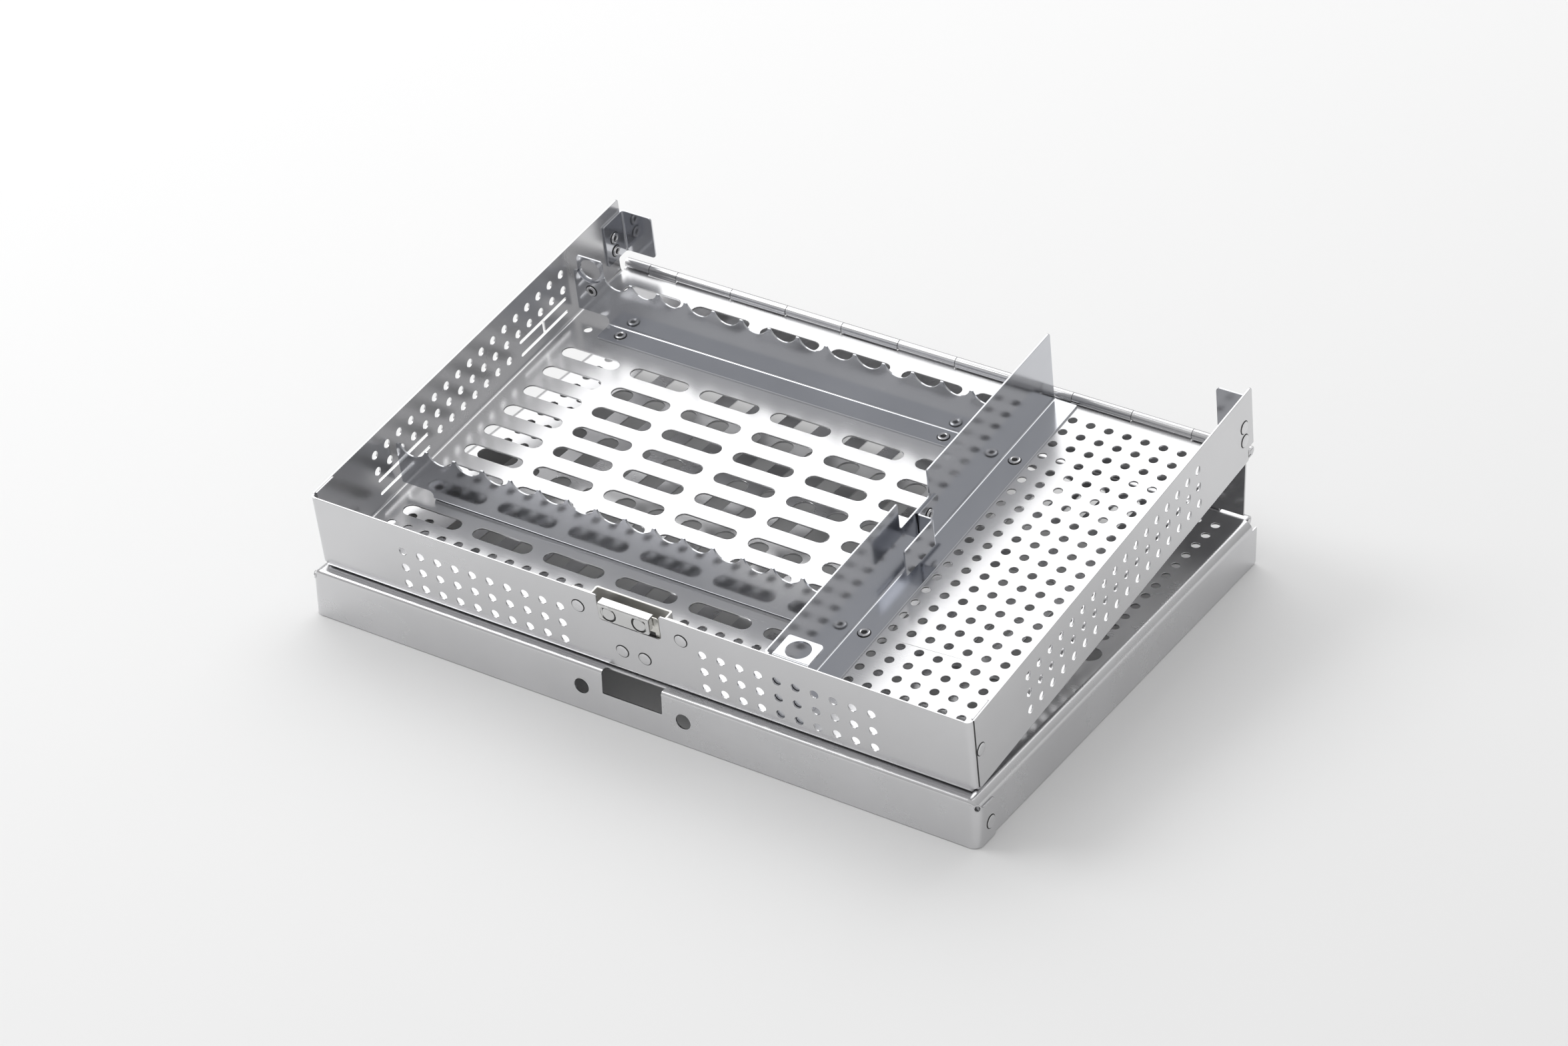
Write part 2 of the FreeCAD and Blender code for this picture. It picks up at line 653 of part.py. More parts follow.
def lid_top():
    """Lid's perforated top with teeth at its rear edge for the hinge."""
    holes = []
    outer = lid_half - lid_edge_col
    side_slot_y = lid_front + axis_y / 2.0 - side_slot_forward
    clear = (side_slot_w + pitch) / 2.0
    for y in steps(hinge_y - lid_row_gap, lid_front + lid_hole_front, pitch):
        if abs(y - side_slot_y) > clear:
            holes += [hole(x, y) for x in (-outer, pitch - outer, outer - pitch, outer)]
    for s in (-1, 1):
        holes.append(slot(s * (lid_half - side_slot_in), side_slot_y, side_slot_len, side_slot_w))
    for x in steps(lid_slot_pitch_x / 2.0, lid_half - lid_slot_side, lid_slot_pitch_x):
        for y in steps(hinge_y - lid_slot_rear, lid_front + lid_slot_front, lid_slot_pitch_y):
            holes += [lid_slot(x, y), lid_slot(-x, y)]
    x = lid_half - side_fold_r
    outline = toothed(lid_front + fold_r, hinge_y, hinge_y + own_edge, knuckle_spans(True), -x, x)
    return solid(flat(outline, holes), sheet, (0, 0, lid_h - sheet))


def lid_sides():
    start, edge = lid_front + lid_side_start, hinge_y + own_edge
    x, z = lid_half - side_fold_r, lid_h - side_fold_r
    outline = box_pts(start, 0, hinge_y + lid_side_back, z)
    wall = solid(flat(outline), sheet, (lid_half - sheet, 0, 0), UP_SIDE)
    ring = ring_face(x, z, side_fold_r - sheet, side_fold_r, 0, 90)
    both = wall.fuse(solid(ring, edge - start + lid_bend_over, (0, edge, 0), UP_FRONT))
    return [both, mirrored(both)]


def lid_front_wall():
    """Front wall with the latch cut-out, the rivet clearance holes and corner tabs lapped outside."""
    outer, r = lid_half + sheet, corner_r + sheet
    end, bend_end = outer - r, outer - r - lid_front_bend_in
    closed_drop = lid_h - (wall_h + lid_gap + sheet)
    cut_z = closed_drop + button_low - cut_clear_z
    top = lid_h - fold_r
    holes = [hole(s * guard_rivet_x, closed_drop + guard_rivet_z, head_r + lid_hole_clear, eye_sides)
             for s in (-1, 1)]
    outline = [(-end, 0), (end, 0), (end, top), (cut_half, top), (cut_half, cut_z), (-cut_half, cut_z),
               (-cut_half, top), (-end, top)]
    wall = solid(flat(outline, holes), sheet, (0, lid_front + sheet, 0), UP_FRONT)
    ring = ring_face(lid_front + fold_r, top, fold_r - sheet, fold_r, 90, 180)
    bend = solid(ring, 2 * bend_end, (-bend_end, 0, 0), UP_SIDE)
    tab_top, tab_y = lid_h - side_fold_r + lid_tab_gap, lid_front + r
    turn = solid(ring_face(end, tab_y, r - sheet, r, -90, 0), tab_top)
    corner = turn.fuse(solid(flat(box_pts(lid_half, tab_y, outer, tab_y + lid_tab_len)), tab_top))
    return [wall, bend, corner, mirrored(corner)]


def lid_shell():
    rings = knuckles(knuckle_spans(True), hinge_y, lid_axis_z)
    body = joined([lid_top()] + lid_sides() + lid_front_wall() + rings)
    room = (2 * cut_half, cut_top_depth + over, fold_r + over)
    return body.cut(Part.makeBox(*room, V(-cut_half, lid_front - over, lid_h - fold_r)))


def lid_corner_rivets():
    one = rivet((lid_half + sheet, lid_front + lid_rivet_in, lid_rivet_z), (-1, 0, 0), 2 * sheet, foot=False)
    return Part.makeCompound([one, mirrored(one)])


def hinge_pin(y, z):
    return stub(pin_r, 2 * hinge_half, (-hinge_half, y, z), (1, 0, 0), bore_sides)


def tray_pieces():
    left = mirrored(corner_bracket())
    return {
        "tray_shell": tray_shell(),
        "tray_corner_rivets": tray_corner_rivets(),
        "right_corner_bracket": corner_bracket(),
        "left_corner_bracket": left,
        "bracket_rivets": bracket_rivets(),
        "rear_rack": rack(rear_rack_y, -1),
        "rear_rack_rivets": rack_rivets(rear_rack_y, -1),
        "front_rack": rack(front_rack_y, 1),
        "front_rack_rivets": rack_rivets(front_rack_y, 1),
        "rack_ear": rack_ear(),
        "ear_rivet": ear_rivet(),
        "partition": partition(),
        "partition_rivets": partition_rivets(),
        "partition_clip": partition_clip(),
        "clip_rivet": clip_rivet(),
        "latch_guard": latch_guard(),
        "latch_guard_rivets": latch_guard_rivets(),
        "latch_spring_rivets": latch_spring_rivets(),
        "latch_spring": latch_spring(),
        "latch_button": latch_button(),
        "latch_button_studs": latch_button_studs(),
    }


def drilled(pieces):
    """Take the rivet shanks out of the sheets that they pass through."""
    through = {
        "tray_shell": ["tray_corner_rivets", "bracket_rivets", "rear_rack_rivets", "front_rack_rivets",
                       "partition_rivets", "latch_guard_rivets", "latch_spring_rivets"],
        "right_corner_bracket": ["bracket_rivets"], "left_corner_bracket": ["bracket_rivets"],
        "rear_rack": ["rear_rack_rivets", "ear_rivet"], "front_rack": ["front_rack_rivets"],
        "rack_ear": ["ear_rivet"], "partition": ["partition_rivets", "clip_rivet"],
        "partition_clip": ["clip_rivet"], "latch_guard": ["latch_guard_rivets"],
        "latch_spring": ["latch_button_studs"], "latch_button": ["latch_button_studs"],
        "lid_shell": ["lid_corner_rivets"],
    }
    for name, tools in through.items():
        if name in pieces:
            pieces[name] = pieces[name].cut([pieces[t] for t in tools])
    return pieces


os.makedirs("parts", exist_ok=True)
pieces = drilled(tray_pieces())
pieces = {name: on_lid(shape) for name, shape in pieces.items()}
pieces["tray_hinge_pin"] = hinge_pin(hinge_y, tray_axis_z)
pieces["spine_panel"] = spine_panel()
pieces.update(drilled({"lid_shell": lid_shell(), "lid_corner_rivets": lid_corner_rivets()}))
pieces["lid_hinge_pin"] = hinge_pin(hinge_y, lid_axis_z)
for name, shape in pieces.items():
    shape.exportStep("parts/" + name + ".step")
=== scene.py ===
import json
import math
import bmesh
import bpy
from mathutils import Matrix, Vector

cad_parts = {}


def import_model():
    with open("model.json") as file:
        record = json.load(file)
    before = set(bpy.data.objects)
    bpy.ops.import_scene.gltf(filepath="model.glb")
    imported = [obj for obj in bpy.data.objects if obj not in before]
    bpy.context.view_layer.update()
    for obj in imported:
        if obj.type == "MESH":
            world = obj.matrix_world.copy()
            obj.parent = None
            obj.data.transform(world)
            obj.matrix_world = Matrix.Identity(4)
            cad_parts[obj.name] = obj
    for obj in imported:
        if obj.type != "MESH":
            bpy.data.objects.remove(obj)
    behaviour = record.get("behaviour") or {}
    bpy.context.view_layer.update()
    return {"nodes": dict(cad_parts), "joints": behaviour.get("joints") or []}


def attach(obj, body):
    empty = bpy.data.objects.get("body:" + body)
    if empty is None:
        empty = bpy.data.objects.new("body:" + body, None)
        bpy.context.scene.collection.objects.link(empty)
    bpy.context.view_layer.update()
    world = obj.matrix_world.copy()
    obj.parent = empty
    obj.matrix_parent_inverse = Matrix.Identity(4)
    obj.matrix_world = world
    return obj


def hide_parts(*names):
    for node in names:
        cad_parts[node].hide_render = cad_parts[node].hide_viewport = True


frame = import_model()
print("frame loaded:", len(frame["nodes"]), "nodes")

# Steel instrument cassette, opened flat out: the tray leans on its own lid.
# Lengths are millimetres until a piece is put on its body, then metres.
joints = {joint["name"]: joint for joint in frame["joints"]}
trayHinge = [1000 * value for value in joints["spine_hinge"]["pos_m"]]
lidHinge = [1000 * value for value in joints["lid_hinge"]["pos_m"]]
trayLean = joints["spine_hinge"]["range_deg"][1] - 180

sheet = 0.8        # all of the folded steel
edgeRound = 0.12   # broken edges of the cut sheet
lead = 0.4         # straight run of steel at both ends of a fold
lap = edgeRound - lead    # below zero: a cut sheet stops this short of a fold, under its straight run
pitch = 7.7        # square lattice of the small holes
holeRadius = 1.75
barrel = {"radius": 2.0, "pin": 1.15, "knuckle": 25.5, "gap": 0.3, "middle": 9, "half": 139.0,
          "edge": 2.9, "end": 200}
# rivetLine: width of the ring of painted shade round the tray's corner rivet heads
tray = {"width": 280.0, "depth": 203.6, "height": 32.8, "fold": 2.0, "corner": 3.0, "tab": 11.4,
        "rearCut": 4.5, "rearCutHeight": 7.0, "turn": 2.2, "turnOut": 0.45, "seam": 2.25, "tabGap": 0.4,
        "rivetBack": 4.9, "rivetHeight": 17.8, "rivetHead": 2.35, "rivetLine": 0.28}
lid = {"width": 284.0, "height": 20.0, "depth": 205.5, "fold": 1.5, "sideFold": 3.8, "corner": 3.8,
       "tab": 8.0, "seam": 3.5, "rearRun": 0.7, "rivetBack": 8.4, "rivetHeight": 7.5}
lidFront = lidHinge[1] - lid["depth"]
innerHalf = tray["width"] / 2 - sheet
trayFront = -tray["depth"]
trayInner = trayFront + sheet

# Placing: a sheet is drawn in x, y and gets its thickness along z.
mirrorX = Matrix.Diagonal((-1, 1, 1, 1))


def shift(x, y, z):
    return Matrix.Translation((x, y, z))


onFloor = shift(0, 0, 0)


def facingFront(y):  # drawn x, y become X, Z; the thickness runs towards -Y
    return shift(0, y, 0) @ Matrix.Rotation(math.radians(90), 4, "X")


def facingSide(x):  # drawn x, y become Y, Z; the thickness runs towards +X
    return shift(x, 0, 0) @ Matrix.Rotation(math.radians(120), 4, Vector((1, 1, 1)))


trayPlace = (shift(0, trayHinge[1], trayHinge[2]) @ Matrix.Rotation(math.radians(trayLean), 4, "X")
             @ shift(0, 0, -barrel["radius"]))
lidPlace = Matrix.Identity(4)


# Outlines
def circle(x, y, radius, points=20):
    turns = [2 * math.pi * k / points for k in range(points)]
    return [(x + radius * math.cos(turn), y + radius * math.sin(turn)) for turn in turns]


def stadium(x, y, length, width, upright=False, points=9):
    half, radius = length / 2 - width / 2, width / 2
    outline = []
    for side, start in ((1, -90), (-1, 90)):
        for k in range(points):
            turn = math.radians(start + 180 * k / (points - 1))
            u, v = side * half + radius * math.cos(turn), radius * math.sin(turn)
            outline.append((x - v, y + u) if upright else (x + u, y + v))
    return outline


def box(x0, y0, x1, y1):
    return [(x0, y0), (x1, y0), (x1, y1), (x0, y1)]


def rounded(outline, radii, points=5):
    out = []
    for k, (x, y) in enumerate(outline):
        radius = radii.get(k, 0)
        if not radius:
            out.append((x, y))
            continue
        here = Vector((x, y))
        before = (Vector(outline[k - 1]) - here).normalized()
        after = (Vector(outline[(k + 1) % len(outline)]) - here).normalized()
        half = before.angle(after) / 2
        centre = here + (before + after).normalized() * radius / math.sin(half)
        start = here + before * radius / math.tan(half) - centre
        end = here + after * radius / math.tan(half) - centre
        for step in range(points):
            part = start.lerp(end, step / (points - 1)).normalized() * radius
            out.append(tuple(centre + part))
    return out


def steps(first, last, step):
    count = int(abs(last - first) / step + 1e-6) + 1
    return [first + math.copysign(step, last - first) * k for k in range(count)]


# Mesh parts
def cutSheet(outline, place, holes=(), thick=sheet, edge=edgeRound):
    curve = bpy.data.curves.new("cut", "CURVE")
    curve.dimensions, curve.fill_mode = "2D", "BOTH"
    for loop in [outline, *holes]:
        spline = curve.splines.new("POLY")
        spline.points.add(len(loop) - 1)
        for point, (x, y) in zip(spline.points, loop):
            point.co = (x, y, 0, 1)
        spline.use_cyclic_u = True
    curve.extrude, curve.bevel_depth, curve.bevel_resolution = thick / 2 - edge, edge, 0
    curve.offset = -edge
    holder = bpy.data.objects.new("cut", curve)
    bpy.context.scene.collection.objects.link(holder)
    graph = bpy.context.evaluated_depsgraph_get()
    mesh = bpy.data.meshes.new_from_object(holder.evaluated_get(graph))
    bpy.data.objects.remove(holder)
    mesh.transform(place @ shift(0, 0, thick / 2))
    return mesh


def fromGrid(rows, place, caps=True):
    form = bmesh.new()
    made = [[form.verts.new(place @ Vector(point)) for point in row] for row in rows]
    span = len(rows[0])
    for low, high in zip(made, made[1:]):
        for k in range(span):
            after = (k + 1) % span
            form.faces.new((low[k], low[after], high[after], high[k]))
    if caps:
        form.faces.new(made[0][::-1])
        form.faces.new(made[-1])
    bmesh.ops.recalc_face_normals(form, faces=form.faces)
    mesh = bpy.data.meshes.new("grid")
    form.to_mesh(mesh)
    form.free()
    return mesh


def straight(point, turn, run):
    return [(point[0] - run * math.sin(turn), point[1] + run * math.cos(turn))] if run else []


# Arc with a straight run at both ends, where that run isn't zero
def arc(x, y, radius, start, end, count, leads):
    turns = [math.radians(start + (end - start) * k / count) for k in range(count + 1)]
    points = [(x + radius * math.cos(turn), y + radius * math.sin(turn)) for turn in turns]
    return straight(points[0], turns[0], -leads[0]) + points + straight(points[-1], turns[-1], leads[1])


def bend(x, y, radius, start, end, length, place, count=10, leads=(lead, lead)):
    outer, inner = (arc(x, y, size, start, end, count, leads) for size in (radius, radius - sheet))
    return fromGrid([[(u, v, z) for u, v in outer + inner[::-1]] for z in (0, length)], place)


axis = 0.01    # radius at which a spun profile ends on its axis


def turned(profile, points):
    turns = [2 * math.pi * k / points for k in range(points)]
    return [[(radius * math.cos(turn), radius * math.sin(turn), height) for turn in turns]
            for radius, height in profile]


def spun(profile, place, points=28):
    return fromGrid(turned(profile, points), place)


def openRing(profile, place, points=32):
    return fromGrid(turned(profile + profile[:1], points), place, False)


def mirrored(meshes):
    out = []
    for mesh in meshes:
        copy = mesh.copy()
        copy.transform(mirrorX)
        copy.flip_normals()
        out.append(copy)
    return out


def pair(meshes):
    return meshes + mirrored(meshes)


# The second material is painted shade: a near-black colour for the shade in a joint, a gap or a deep bore.
def shaded(mesh):
    mesh.polygons.foreach_set("material_index", [1] * len(mesh.polygons))
    return mesh


def drilled(meshes, place, radius, depth):
    cutter = bpy.data.objects.new("drill", spun([(radius, -depth), (radius, depth)], place))
    bpy.context.scene.collection.objects.link(cutter)
    out = []
    for mesh in meshes:
        holder = bpy.data.objects.new("drilled", mesh)
        bpy.context.scene.collection.objects.link(holder)
        hole = holder.modifiers.new("hole", "BOOLEAN")
        hole.object, hole.solver = cutter, "EXACT"
        graph = bpy.context.evaluated_depsgraph_get()
        out.append(bpy.data.meshes.new_from_object(holder.evaluated_get(graph)))
        bpy.data.objects.remove(holder)
    bpy.data.objects.remove(cutter)
    return out


crease = 32      # degrees between two faces from which their edge is drawn sharp
weld = 0.0005    # points closer than this are one point


def pieceOf(name, meshes, place, body, material):
    form = bmesh.new()
    for mesh in meshes:
        form.from_mesh(mesh)
    mesh = bpy.data.meshes.new("seen_" + name)
    bmesh.ops.remove_doubles(form, verts=form.verts, dist=weld)
    form.to_mesh(mesh)
    form.free()
    mesh.transform(Matrix.Scale(0.001, 4) @ place)
    mesh.shade_smooth()
    mesh.set_sharp_from_angle(angle=math.radians(crease))
    mesh.materials.append(material)
    # faces marked by shaded() get the painted shade as their second material
    if any(face.material_index for face in mesh.polygons):
        mesh.materials.append(metal["seamShade"])
    piece = bpy.data.objects.new("seen_" + name, mesh)
    bpy.context.scene.collection.objects.link(piece)
    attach(piece, body)
    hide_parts(name)
    return piece


# Hinge barrels
def knuckleSpans(own):
    half = barrel["knuckle"] / 2
    reach = barrel["knuckle"] * barrel["middle"] / 2
    edges = [-barrel["half"], -reach - half]
    edges += [barrel["knuckle"] * k - reach for k in range(barrel["middle"] + 1)]
    edges += [reach + half, barrel["half"]]
    return [(edges[k] + barrel["gap"] / 2, edges[k + 1] - barrel["gap"] / 2)
            for k in range(0 if own else 1, len(edges) - 1, 2)]


def knuckles(own, y, z, start, end):
    return [bend(y, z, barrel["radius"], start, end, high - low, facingSide(low), 24, (0, 0))
            for low, high in knuckleSpans(own)]


def toothed(front, rear, edge, low, high):
    points = [(low, front), (high, front), (high, edge)]
    for left, right in reversed(knuckleSpans(True)):
        points += [(right, edge), (right, rear), (left, rear), (left, edge)]
    points.append((low, edge))
    return points


# Tray
partitionX = 57.1
rackX = {"left": -137.2, "right": partitionX - sheet}
rackY = {"rear": -36.6, "front": 48.2 - tray["depth"]}
floorPattern = {"right": (partitionX + 12.3, innerHalf - 7.0), "rear": -11.0, "front": trayFront + 7.0,
                "slotLength": 26.0, "slotWidth": 6.2, "slotStepX": 32.0, "slotStepY": 13.25,
                "slotX": (-118.3, rackX["right"] - 13.0),
                "slotY": (rackY["rear"] - 20.7, rackY["front"] + 18.5),
                "rearSlots": -14.0, "frontSlots": rackY["front"] - 8.2,
                "holeX": (rackX["left"] + 6.4, rackX["right"] - 4.0), "frontHoles": rackY["front"] - 17.3,
                "earHole": rackY["rear"] - 5.8}
wallPattern = {"sideStart": trayFront + 38.2, "sideEnd": -42.0, "sideTop": tray["height"] - 8.5,
               "frontTop": tray["height"] - 11.5, "frontX": 30.2, "frontEnd": 100.0, "rows": 3,
               "cutLength": 32.0, "cutWidth": 1.5, "cutGap": 6.1, "cutMiddle": 9.05,
               "cuts": (rackY["rear"] - 20.4, rackY["front"] + 5.3)}
notch = {"half": 13.2, "bottom": 21.8}


def trayFloor():
    pattern = floorPattern
    holes = []
    for x in steps(*pattern["right"], pitch):
        holes += [circle(x, y, holeRadius) for y in steps(pattern["rear"], pattern["front"], pitch)]
    for x in steps(*pattern["holeX"], pitch):
        holes.append(circle(x, pattern["frontHoles"], holeRadius))
    rows = steps(*pattern["slotY"], pattern["slotStepY"])
    for y in rows + [pattern["frontSlots"], pattern["rearSlots"]]:
        for x in steps(*pattern["slotX"], pattern["slotStepX"]):
            holes.append(stadium(x, y, pattern["slotLength"], pattern["slotWidth"]))
    holes.append(circle(scallop["first"], pattern["earHole"], holeRadius))
    inside = tray["width"] / 2 - tray["fold"] + lap
    outline = toothed(trayFront + tray["fold"] - lap, 0, -barrel["edge"], -inside, inside)
    return cutSheet(outline, onFloor, holes)


def hCut(y):
    low, high = (wallPattern["cutMiddle"] + side * wallPattern["cutGap"] / 2 for side in (-1, 1))
    start, end = y - wallPattern["cutLength"] / 2, y + wallPattern["cutLength"] / 2
    half = wallPattern["cutWidth"] / 2
    outline = [(start, low - half), (end, low - half), (end, low + half), (y + half, low + half),
               (y + half, high - half), (end, high - half), (end, high + half), (start, high + half),
               (start, high - half), (y - half, high - half), (y - half, low + half), (start, low + half)]
    ends = {k: 0.7 for k in (0, 1, 2, 5, 6, 7, 8, 11)}
    return rounded(outline, ends, 4)


def traySide(left):
    cuts = wallPattern["cuts"]
    clear = wallPattern["cutLength"] / 2 + 2 * holeRadius
    holes = []
    for row in range(wallPattern["rows"]):
        for y in steps(wallPattern["sideStart"], wallPattern["sideEnd"], pitch):
            if not left or row < 2 or cuts[1] + clear < y < cuts[0] - clear:
                holes.append(circle(y, wallPattern["sideTop"] - pitch * row, holeRadius))
    if left:
        holes += [hCut(y) for y in cuts]
    start, low = trayFront + tray["seam"], tray["fold"] - lap
    outline = [(start, low), (-tray["rearCut"], low), (-tray["rearCut"], tray["rearCutHeight"]),
               (-0.2, tray["rearCutHeight"]), (-0.2, tray["height"]), (start, tray["height"])]
    wall = cutSheet(rounded(outline, {2: 1.0, 4: 1.2}), facingSide(innerHalf), holes)
    run = tray["depth"] - tray["corner"] - tray["rearCut"]
    fold = bend(tray["width"] / 2 - tray["fold"], tray["fold"], tray["fold"], -90, 0, run,
                facingFront(-tray["rearCut"]))
    return mirrored([wall, fold]) if left else [wall, fold]


def trayFrontWall():
    pattern = wallPattern
    holes = []
    for x in steps(pattern["frontX"], pattern["frontEnd"], pitch):
        for row in range(pattern["rows"]):
            holes += [circle(side * x, pattern["frontTop"] - pitch * row, holeRadius) for side in (-1, 1)]
    flat = innerHalf + tray["turnOut"] - tray["turn"]
    rim, foot, end = tray["height"], tray["fold"] - lap, flat + lap
    cut, bottom = notch["half"], notch["bottom"]
    outline = [(-end, foot), (end, foot), (end, rim), (cut, rim), (cut, bottom), (-cut, bottom),
               (-cut, rim), (-end, rim)]
    outline = rounded(outline, {3: 0.8, 4: 1.6, 5: 1.6, 6: 0.8})
    wall = cutSheet(outline, facingFront(trayInner), holes)
    fold = bend(trayFront + tray["fold"], tray["fold"], tray["fold"], 180, 270, 2 * flat, facingSide(-flat))
    low = tray["fold"] + tray["tabGap"]
    corner = bend(flat, trayFront + tray["turn"], tray["turn"], -90, 0, rim - low, shift(0, 0, low), 12,
                  (lead, 0))
    start = trayFront + tray["corner"]
    tab = rounded(box(start, low, start + tray["tab"], rim), {1: 1.5, 2: 1.5})
    side = [corner, cutSheet(tab, facingSide(innerHalf - sheet))]
    return [wall, fold, *pair(side)]


def trayShell():
    barrels = knuckles(True, 0, barrel["radius"], -90, barrel["end"])
    return [trayFloor(), *traySide(False), *traySide(True), *trayFrontWall(), *barrels]


# Rivets: a low domed head outside, a rolled eyelet inside
# line: width of the ring of painted shade round a head
rivetHead = {"radius": 2.45, "height": 0.42, "shank": 1.4, "line": 0.36}
eyelet = {"radius": 2.25, "height": 0.75, "bore": 1.0}
toLeft, toRight, toRear, toFront, upward = (-1, 0, 0), (1, 0, 0), (0, 1, 0), (0, -1, 0), (0, 0, 1)


# Thin dark line of painted shade where a head or an eyelet meets the sheet
def shadeRing(place, radius, line=rivetHead["line"]):
    outer, proud, sunk = radius + line, -0.04, 0.02
    return shaded(spun([(axis, sunk), (outer, sunk), (outer, proud), (axis, proud)], place))


def headAt(place, radius):
    height = rivetHead["height"]
    profile = [(axis, 0.02), (radius - 0.5, 0.02), (radius - 0.5, -height * 0.3),
               (radius - 0.12, -height * 0.34), (radius, -height * 0.5), (radius * 0.97, -height * 0.74),
               (radius * 0.86, -height * 0.93), (radius * 0.6, -height), (axis, -height)]
    return spun(profile, place)


def eyeletAt(place):
    outer, bore, high = eyelet["radius"], eyelet["bore"], eyelet["height"]
    profile = [(outer - 0.3, 0), (outer, high * 0.4), (outer - 0.1, high * 0.78), (outer - 0.4, high),
               (bore + 0.45, high), (bore + 0.16, high * 0.8), (bore, high * 0.3), (bore, -0.8),
               (axis, -0.85)]
    # a dark disc of painted shade down in the bore, and a ring of painted shade round its foot
    floor = [(axis, high * 0.2), (bore, high * 0.2), (bore, high * 0.1), (axis, high * 0.1)]
    below = place @ Matrix.Scale(-1, 4, (0, 0, 1))
    return [spun(profile, place), shaded(spun(floor, place)), shadeRing(below, outer)]


def rivet(at, direction, head=rivetHead["radius"], grip=2 * sheet, foot=True, line=rivetHead["line"]):
    turn = Vector((0, 0, 1)).rotation_difference(Vector(direction)).to_matrix().to_4x4()
    place, shank = shift(*at) @ turn, rivetHead["shank"]
    core = spun([(shank, 0.01), (shank, grip - 0.9)], place, 16)
    parts = [headAt(place, head), shadeRing(place, head, line), core]
    return parts + (eyeletAt(place @ shift(0, 0, grip)) if foot else [])


# Racks
scallop = {"pitch": 12.7, "radius": 6.0, "depth": 4.3, "top": 23.8, "first": rackX["left"] + 7.6,
           "points": 14}
rackFoot = {"width": 10.0, "fold": 1.6, "toe": 14.0, "toeHeight": 4.2, "rivetLeft": 22.2,
            "rivetRight": 25.3}


def rackPlate(y):
    top, radius, depth = scallop["top"], scallop["radius"], scallop["depth"]
    opening = math.acos(1 - depth / radius)
    outline = [(rackX["left"], top)]
    for x in steps(scallop["first"], rackX["right"] - radius, scallop["pitch"]):
        for k in range(scallop["points"] + 1):
            turn = opening * (2 * k / scallop["points"] - 1)
            outline.append((x + radius * math.sin(turn), top - depth + radius * (1 - math.cos(turn))))
    low, toe = sheet + rackFoot["fold"] - lap, rackX["left"] + rackFoot["toe"]
    raised, left, right = sheet + rackFoot["toeHeight"], rackX["left"], rackX["right"]
    tail = [(right, top), (right, low), (toe, low), (toe, raised), (left, raised)]
    outline = rounded(outline + tail, {0: 0.6, len(outline) + 3: 1.9}, 6)
    return cutSheet(outline[::-1], facingFront(y + sheet))


def rack(y, way):
    toe, fold = rackX["left"] + rackFoot["toe"], rackFoot["fold"]
    run = rackX["right"] - toe
    if way < 0:
        turn = bend(y - fold + sheet, sheet + fold, fold, -90, 0, run, facingSide(toe))
        near, far = y + sheet - rackFoot["width"], y + sheet - fold + lap
    else:
        turn = bend(y + fold, sheet + fold, fold, 180, 270, run, facingSide(toe))
        near, far = y + fold - lap, y + rackFoot["width"]
    foot = cutSheet(rounded(box(toe, near, rackX["right"], far), {0: 0.8, 3: 0.8}), shift(0, 0, sheet))
    return [rackPlate(y), turn, foot]


def rackRivets(y, way):
    middle = y + (way * rackFoot["width"] + sheet) / 2
    places = (rackX["left"] + rackFoot["rivetLeft"], rackX["right"] - rackFoot["rivetRight"])
    return [part for x in places for part in rivet((x, middle, 0), upward, eyelet["radius"])]


ear = {"width": 12.0, "low": 9.0, "top": 30.6, "eye": 4.6, "eyeHeight": 25.2, "rivet": 15.6}


def rackEar():
    x, half = scallop["first"], ear["width"] / 2
    outline = rounded(box(x - half, ear["low"], x + half, ear["top"]), {0: 1.2, 1: 1.2, 2: 1.0, 3: 1.0})
    eye = circle(x, ear["eyeHeight"], ear["eye"], 40)
    return [cutSheet(outline, facingFront(rackY["rear"] + 2 * sheet), [eye])]


# Partition with its clip
partition = {"top": 32.4, "foot": 10.0, "fold": 1.6, "front": trayInner + 0.2, "rear": -3.0,
             "notchY": -103.0, "notchWidth": 21.0, "notchBottom": 20.4, "endLow": 3.0,
             "tabDrop": 0.5, "tabStart": 3.0, "tabWidth": 14.8, "tabDepth": 12.2, "tabHole": 4.6,
             "rivets": (rackY["rear"] - 5.3, rackY["front"] + 5.7)}
clip = {"low": 7.8, "top": 19.2, "stand": 6.4, "fold": 1.3, "bend": 0.6, "base": 14.5, "free": 20.8,
        "rivetBack": 7.6, "rivetHeight": 14.2}


def partitionWall():
    part, left = partition, partitionX - sheet
    fold, front, rear = part["fold"], part["front"] + part["fold"], part["rear"]
    top, bottom = part["top"], part["notchBottom"]
    low, high = part["notchY"] - part["notchWidth"] / 2, part["notchY"] + part["notchWidth"] / 2
    base, end = sheet + fold - lap, front - lap
    outline = [(end, base), (rear, base), (rear, top), (high, top), (high, bottom), (low, bottom),
               (low, top), (end, top)]
    wall = cutSheet(rounded(outline, {2: 1.0, 3: 0.6, 4: 1.4, 5: 1.4, 6: 0.6}), facingSide(left))
    turn = bend(left + fold, sheet + fold, fold, 180, 270, rear - front, facingFront(rear))
    outline = rounded(box(left + fold - lap, front, partitionX + part["foot"], rear), {1: 0.8, 2: 0.8})
    return [wall, turn, cutSheet(outline, shift(0, 0, sheet))]


